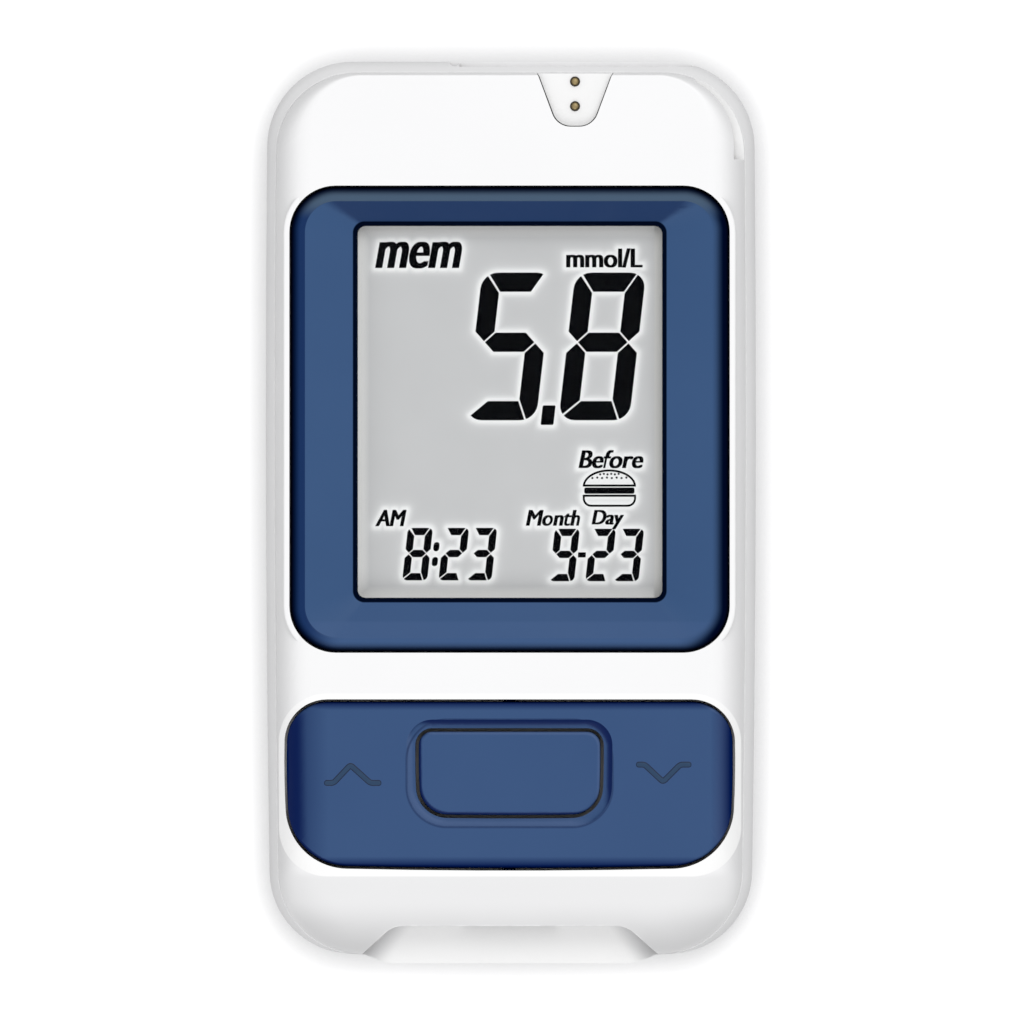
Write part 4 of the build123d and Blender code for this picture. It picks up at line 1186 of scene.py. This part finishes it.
def buildDisplayFace():
    overlap = Vector((displayFace["overlap"], displayFace["overlap"], 0))
    low = windowLow - overlap
    high = windowHigh + overlap
    size = high - low
    middle = (low + high) / 2
    deselectAll()
    columns = int(size.x / displayFace["step"])
    rows = int(size.y / displayFace["step"])
    bpy.ops.mesh.primitive_grid_add(x_subdivisions=columns, y_subdivisions=rows, size=1)
    piece = bpy.context.object
    piece.name = "displayFace"
    piece.data.name = "displayFace"
    editPiece(piece)
    bpy.ops.transform.resize(value=(size.x, size.y, 1))
    bpy.ops.transform.translate(value=(middle.x, middle.y, displayFace["level"]))
    # the border goes down to the film and is closed underneath
    pick(piece, "EDGE", lambda place, edge: edge.is_boundary)
    drop = filmHigh.z + 0.002 * mm - displayFace["level"]
    bpy.ops.mesh.extrude_region_move(TRANSFORM_OT_translate={"value": (0, 0, drop)})
    bpy.ops.mesh.edge_face_add()
    deselectAll()
    corners = []
    faces = []
    for ink in inkPieces:
        start = len(corners)
        corners.extend(vertex.co.copy() for vertex in ink.data.vertices)
        faces.extend([start + corner for corner in face.vertices] for face in ink.data.polygons)
    inkTree = BVHTree.FromPolygons(corners, faces)
    farthest = 6 * displayFace["glowReach"]
    glow = piece.data.attributes.new("glow", "FLOAT", "POINT")
    for vertex in piece.data.vertices:
        found = inkTree.find_nearest(Vector((vertex.co.x, vertex.co.y, inkLevel)), farthest)
        distance = found[3] if found[3] is not None else farthest
        glow.data[vertex.index].value = 1.0 / (1.0 + (distance / displayFace["glowReach"]) ** 3)
    return piece


def buildDisplayGrey():
    # pale grey display: painted glow beside the ink, a painted lighter rim at the left, foot and top, and a
    # painted tone at the right edge, where the bezel's shade falls
    look = {
        "colour": paint(200, 200, 201),
        "otherColour": paint(197, 197, 198),
        "glow": paint(250, 250, 250),
        "rim": paint(252, 251, 249),
        "shade": paint(206, 205, 203),
        "rimWidth": 1.3 * mm,
        "shadeWidth": 1.0 * mm,
    }
    material, tree, shader, output = startMaterial("displayGrey")
    drift = effect(tree, "toneDrift", Scale=160.0, Contrast=0.25)
    colour = mixColour(tree, drift, look["colour"], look["otherColour"])
    place = objectPlace(tree)
    edges = {
        "left": remap(tree, place["X"], windowLow.x, windowLow.x + look["rimWidth"], 1.0, 0.0),
        "foot": remap(tree, place["Y"], windowLow.y, windowLow.y + look["rimWidth"], 1.0, 0.0),
        "top": remap(tree, place["Y"], windowHigh.y, windowHigh.y - look["rimWidth"], 0.7, 0.0),
    }
    lit = calc(tree, "MAXIMUM", calc(tree, "MAXIMUM", edges["left"], edges["foot"]), edges["top"])
    colour = mixColour(tree, lit, colour, look["rim"])
    shadeStart = windowHigh.x - look["shadeWidth"]
    right = remap(tree, place["X"], shadeStart, windowHigh.x - 0.8 * look["shadeWidth"])
    colour = mixColour(tree, right, colour, look["shade"])
    glow = put(tree, "Attribute", attribute_name="glow").outputs["Fac"]
    colour = mixColour(tree, calc(tree, "MULTIPLY", glow, 0.9), colour, look["glow"])
    rough = smudgedRoughness(tree, 150.0, 0.5, 0.6)
    grain = effect(tree, "mouldGrain", Scale=9000.0)
    normal = surfaceBump(tree, grain, 0.001 * mm)
    fill(tree, shader, {
        "Base Color": colour,
        "Roughness": rough,
        "Normal": normal,
        "Specular IOR Level": 0.2,
    })
    return material


finishPiece(buildDisplayFace(), buildDisplayGrey(), "casing")
print("stage: display face")

# black printed border under the lens, which also stands in for the shade at the window's edge
windowBorder = {"inside": 0.08 * mm, "edge": 0.35 * mm, "corner": 0.8 * mm, "thickness": 0.02 * mm}


def buildWindowBorder():
    inset = windowBorder["inside"]
    size = windowHigh - windowLow
    middle = (windowHigh + windowLow) / 2
    inner = addPlate("windowBorderInner", middle, (size.x - 2 * inset, size.y - 2 * inset))
    roundCorners(windowBorder["corner"], 6)
    lensSize = lensHigh - lensLow
    lensMiddle = (lensHigh + lensLow) / 2
    edge = windowBorder["edge"]
    outer = addPlate("windowBorder", lensMiddle, (lensSize.x - 2 * edge, lensSize.y - 2 * edge))
    roundCorners(windowBorder["corner"], 6)
    piece = joinPieces("windowBorder", [outer, inner])
    editPiece(piece)
    bpy.ops.mesh.delete(type="ONLY_FACE")
    bpy.ops.mesh.select_mode(type="EDGE")
    bpy.ops.mesh.select_all(action="SELECT")
    bpy.ops.mesh.bridge_edge_loops()
    deselectAll()
    applyModifier(piece, "SOLIDIFY", thickness=windowBorder["thickness"], offset=1.0)
    level = lensLow.z - windowBorder["thickness"] - 0.004 * mm
    piece.data.transform(Matrix.Translation((0, 0, level)))
    editPiece(piece)
    bpy.ops.mesh.normals_make_consistent(inside=False)
    deselectAll()
    return piece


def buildBorderInk():
    look = {"colour": paint(12, 16, 34), "otherColour": paint(18, 24, 46), "roughness": 0.4}
    material, tree, shader, output = startMaterial("borderInk")
    drift = effect(tree, "toneDrift", Scale=300.0, Contrast=0.25)
    colour = mixColour(tree, drift, look["colour"], look["otherColour"])
    rough = remap(tree, effect(tree, "smudges", Scale=200.0), 0.0, 1.0, look["roughness"], 0.5)
    fill(tree, shader, {"Base Color": colour, "Roughness": rough, "Specular IOR Level": 0.2})
    return material


finishPiece(buildWindowBorder(), buildBorderInk(), "casing")
print("stage: window border")

# arrow marks on the rocker key: a flattened stroke with round ends and corners
arrowMark = {
    "halfLine": 0.33 * mm,
    "rise": 0.05 * mm,
    "bend": 0.28 * mm,
    "up": [(-19.1, -27.84), (-18.1, -27.84), (-16.36, -26.0), (-14.32, -27.84), (-13.15, -27.84)],
    "down": [(12.98, -25.95), (13.9, -25.95), (15.79, -27.72), (17.56, -25.95), (18.74, -25.95)],
}


def strokePath(corners):
    # rounds every corner of the stroke with a short parabola, and ends it in two small domes
    path = [corners[0]]
    for before, corner, after in zip(corners, corners[1:], corners[2:]):
        start = corner + (before - corner).normalized() * arrowMark["bend"]
        end = corner + (after - corner).normalized() * arrowMark["bend"]
        for step in range(6):
            t = step / 5
            path.append(start * (1 - t) ** 2 + corner * 2 * t * (1 - t) + end * t ** 2)
    path.append(corners[-1])
    half = arrowMark["halfLine"]
    ends = []
    for tip, inward in ((path[0], path[1] - path[0]), (path[-1], path[-2] - path[-1])):
        steps = [i / 5 for i in range(5)]
        ends.append([(tip + inward.normalized() * half * s, sqrt(1 - (1 - s) ** 2)) for s in steps])
    body = [(point, 1.0) for point in path[1:-1]]
    return ends[0] + body + ends[1][::-1]


def buildArrow(name, corners):
    stroke = strokePath([Vector((x * mm, y * mm, 0)) for x, y in corners])
    curve = bpy.data.curves.new(name, "CURVE")
    curve.dimensions = "3D"
    curve.bevel_depth = arrowMark["halfLine"]
    curve.bevel_resolution = 4
    curve.use_fill_caps = True
    spline = curve.splines.new("POLY")
    spline.points.add(len(stroke) - 1)
    for point, (place, width) in zip(spline.points, stroke):
        point.co = (place.x, place.y, 0, 1)
        point.radius = max(width, 0.05)
    piece = bpy.data.objects.new(name, curve)
    bpy.context.scene.collection.objects.link(piece)
    activate(piece)
    bpy.ops.object.convert(target="MESH")
    piece = bpy.context.object
    editPiece(piece)
    bpy.ops.mesh.remove_doubles(threshold=0.004 * mm)
    bpy.ops.mesh.normals_make_consistent(inside=False)
    deselectAll()
    flat = Matrix.Diagonal((1, 1, arrowMark["rise"] / arrowMark["halfLine"], 1))
    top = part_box("rocker_key")[1].z
    piece.data.transform(Matrix.Translation((0, 0, top - 0.3 * arrowMark["rise"])) @ flat)
    return piece


def buildArrowInk():
    # dark teal print, with painted shade along its rounded border
    look = {"colour": paint(36, 64, 94), "otherColour": paint(32, 58, 88), "border": paint(4, 18, 46)}
    material, tree, shader, output = startMaterial("arrowInk")
    drift = effect(tree, "toneDrift", Scale=900.0, Contrast=0.25)
    colour = mixColour(tree, drift, look["colour"], look["otherColour"])
    border = effect(tree, "turnedAway", Level=0.992, Steep=0.965)
    colour = mixColour(tree, border, colour, look["border"])
    rough = remap(tree, effect(tree, "smudges", Scale=500.0), 0.0, 1.0, 0.5, 0.6)
    fill(tree, shader, {"Base Color": colour, "Roughness": rough, "Specular IOR Level": 0.25})
    return material


arrowInk = buildArrowInk()
finishPiece(buildArrow("arrowUp", arrowMark["up"]), arrowInk, "rocker")
finishPiece(buildArrow("arrowDown", arrowMark["down"]), arrowInk, "rocker")
print("stage: arrow marks")

# casing screws: pan heads with a cross recess and a threaded shank, modelled once
screwShape = {
    "headRadius": 1.8 * mm,
    "headHeight": 1.3 * mm,
    "crown": 0.22 * mm,
    "shankRadius": 0.88 * mm,
    "rootRadius": 0.66 * mm,
    "pitch": 0.5 * mm,
    "recessReach": 1.0 * mm,
    "recessHalf": 0.2 * mm,
    "recessDepth": 0.75 * mm,
}


def profileLine(name, profile):
    # a chain of edges in the X-Z plane, drawn by extruding one vertex
    deselectAll()
    bpy.ops.mesh.primitive_plane_add(size=1)
    piece = bpy.context.object
    piece.name = name
    piece.data.name = name
    editPiece(piece)
    bpy.ops.mesh.select_mode(type="VERT")
    bpy.ops.mesh.merge(type="CENTER")
    bpy.ops.transform.translate(value=(profile[0][0], 0, profile[0][1]))
    for (x, z), (nextX, nextZ) in zip(profile, profile[1:]):
        bpy.ops.mesh.extrude_region_move(TRANSFORM_OT_translate={"value": (nextX - x, 0, nextZ - z)})
    return piece


def buildScrew():
    low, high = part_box("casing_screw_1")
    length = high.z - low.z
    radius, rise, head = screwShape["headRadius"], screwShape["crown"], screwShape["headHeight"]
    root = screwShape["rootRadius"]
    # the head's crown is an arc, and ends a little inside the head's edge
    crownEnd = radians(72)
    profile = [(0, 0)]
    for step in range(1, 9):
        angle = radians(step * 9)
        across = radius * sin(angle) / sin(crownEnd) * 0.93
        profile.append((across, rise * (1 - cos(angle)) / (1 - cos(crownEnd))))
    profile += [(radius, rise + 0.16 * mm), (radius, head), (root, head)]
    z = head + 0.2 * mm
    while z < length - 0.9 * mm:
        profile.append((root, z))
        profile.append((screwShape["shankRadius"], z + 0.5 * screwShape["pitch"]))
        z += screwShape["pitch"]
    profile += [(root, z), (root * 0.7, length - 0.05 * mm), (0, length)]
    piece = profileLine("casingScrew", profile)
    bpy.ops.mesh.select_all(action="SELECT")
    bpy.ops.mesh.spin(steps=40, angle=2 * pi, center=(0, 0, 0), axis=(0, 0, 1))
    bpy.ops.mesh.select_all(action="SELECT")
    bpy.ops.mesh.remove_doubles(threshold=0.003 * mm)
    bpy.ops.mesh.normals_make_consistent(inside=False)
    deselectAll()
    reach, half, depth = screwShape["recessReach"], screwShape["recessHalf"], screwShape["recessDepth"]
    for sizeX, sizeY in ((reach, half), (half, reach)):
        # each arm of the cross narrows towards its floor
        deselectAll()
        bpy.ops.mesh.primitive_cube_add(size=2)
        arm = bpy.context.object
        editPiece(arm)
        bpy.ops.transform.resize(value=(sizeX, sizeY, depth))
        pick(arm, "FACE", lambda place, face: place.z > 0.9 * depth)
        bpy.ops.transform.resize(value=(0.45, 0.75, 1) if sizeX > sizeY else (0.75, 0.45, 1))
        deselectAll()
        applyModifier(piece, "BOOLEAN", object=arm, operation="DIFFERENCE", solver="EXACT")
        discard([arm])
    return piece


screwModel = buildScrew()
for number in range(1, 5):
    nodeName = "casing_screw_" + str(number)
    low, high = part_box(nodeName)
    middle = (low + high) / 2
    screw = copyPiece(screwModel, "casingScrew_" + str(number))
    turn = Matrix.Rotation(radians(23 + 71 * number), 4, "Z")
    screw.data.transform(Matrix.Translation((middle.x, middle.y, low.z)) @ turn)
    finishPiece(screw, screwSteel, "casing")
    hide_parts(nodeName)
discard([screwModel])
print("stage: screws")


def seenBare(tree, rays):
    # 1 for the camera, and in reflections and behind glass
    seen = calc(tree, "MAXIMUM", rays["Is Camera Ray"], rays["Is Glossy Ray"])
    return calc(tree, "MAXIMUM", seen, rays["Is Transmission Ray"])


# floor: pale, takes the shadow, with a painted contact shadow close round the object, shows white to the
# camera and in reflections, and is clear from below
def buildFloor():
    floorLook = {
        "size": 9.0,
        "drop": 0.02 * mm,
        "colour": paint(186, 186, 187),
        "otherColour": paint(183, 183, 184),
        "lift": 0.72,
        "contactReach": 3.6 * mm,
        "contactShare": 0.55,
    }
    deselectAll()
    bpy.ops.mesh.primitive_plane_add(size=floorLook["size"], location=(0, 0, -floorLook["drop"]))
    floor = bpy.context.object
    floor.name = "floor"
    material, tree, shader, output = startMaterial("floorPale")
    drift = effect(tree, "toneDrift", Scale=2.0, Contrast=0.3)
    colour = mixColour(tree, drift, floorLook["colour"], floorLook["otherColour"])
    fill(tree, shader, {"Base Color": colour, "Roughness": 0.9, "Specular IOR Level": 0.1})
    rays = put(tree, "LightPath").outputs
    seen = seenBare(tree, rays)
    access = put(tree, "AmbientOcclusion", {"Distance": floorLook["contactReach"]}, samples=6).outputs["AO"]
    contact = remap(tree, access, 1.0, 0.5, 1.0, 1.0 - floorLook["contactShare"])
    strength = calc(tree, "MULTIPLY", calc(tree, "MULTIPLY", seen, floorLook["lift"]), contact)
    shine = put(tree, "Emission", {"Color": (1, 1, 1, 1), "Strength": strength}).outputs[0]
    both = put(tree, "AddShader", {0: shader.outputs[0], 1: shine}).outputs[0]
    # the sky reaches the back of the object through the floor
    below = put(tree, "NewGeometry").outputs["Backfacing"]
    through = calc(tree, "MAXIMUM", rays["Is Shadow Ray"], rays["Is Diffuse Ray"])
    through = calc(tree, "MAXIMUM", through, below)
    clear = put(tree, "BsdfTransparent").outputs[0]
    mixed = put(tree, "MixShader", {0: through, 1: both, 2: clear}).outputs[0]
    tree.links.new(mixed, output.inputs["Surface"])
    floor.data.materials.append(material)


buildFloor()

# light: a plain pale sky, a soft box beyond the data port and a weak one before the strip port
world = bpy.data.worlds.new("paleSky")
bpy.context.scene.world = world
world.use_nodes = True
skyTree = world.node_tree
skyStrength = {"light": 0.66, "seen": 1.0}
seenSky = seenBare(skyTree, put(skyTree, "LightPath").outputs)
strength = remap(skyTree, seenSky, 0.0, 1.0, skyStrength["light"], skyStrength["seen"])
fill(skyTree, skyTree.nodes["Background"], {"Color": (1.0, 1.0, 1.0, 1.0), "Strength": strength})

softBoxes = {
    "keyBox": {"place": (0.16, 0.46, 0.72), "size": 0.6, "power": 2.35},
    "frontBox": {"place": (-0.1, -0.6, 0.6), "size": 0.5, "power": 1.4},
}
for name, box in softBoxes.items():
    lampData = bpy.data.lights.new(name, "AREA")
    lampData.size = box["size"]
    lampData.energy = box["power"]
    lamp = bpy.data.objects.new(name, lampData)
    lamp.location = box["place"]
    lamp.rotation_euler = (-Vector(box["place"])).to_track_quat("-Z", "Y").to_euler()
    bpy.context.scene.collection.objects.link(lamp)
print("stage: floor and light")
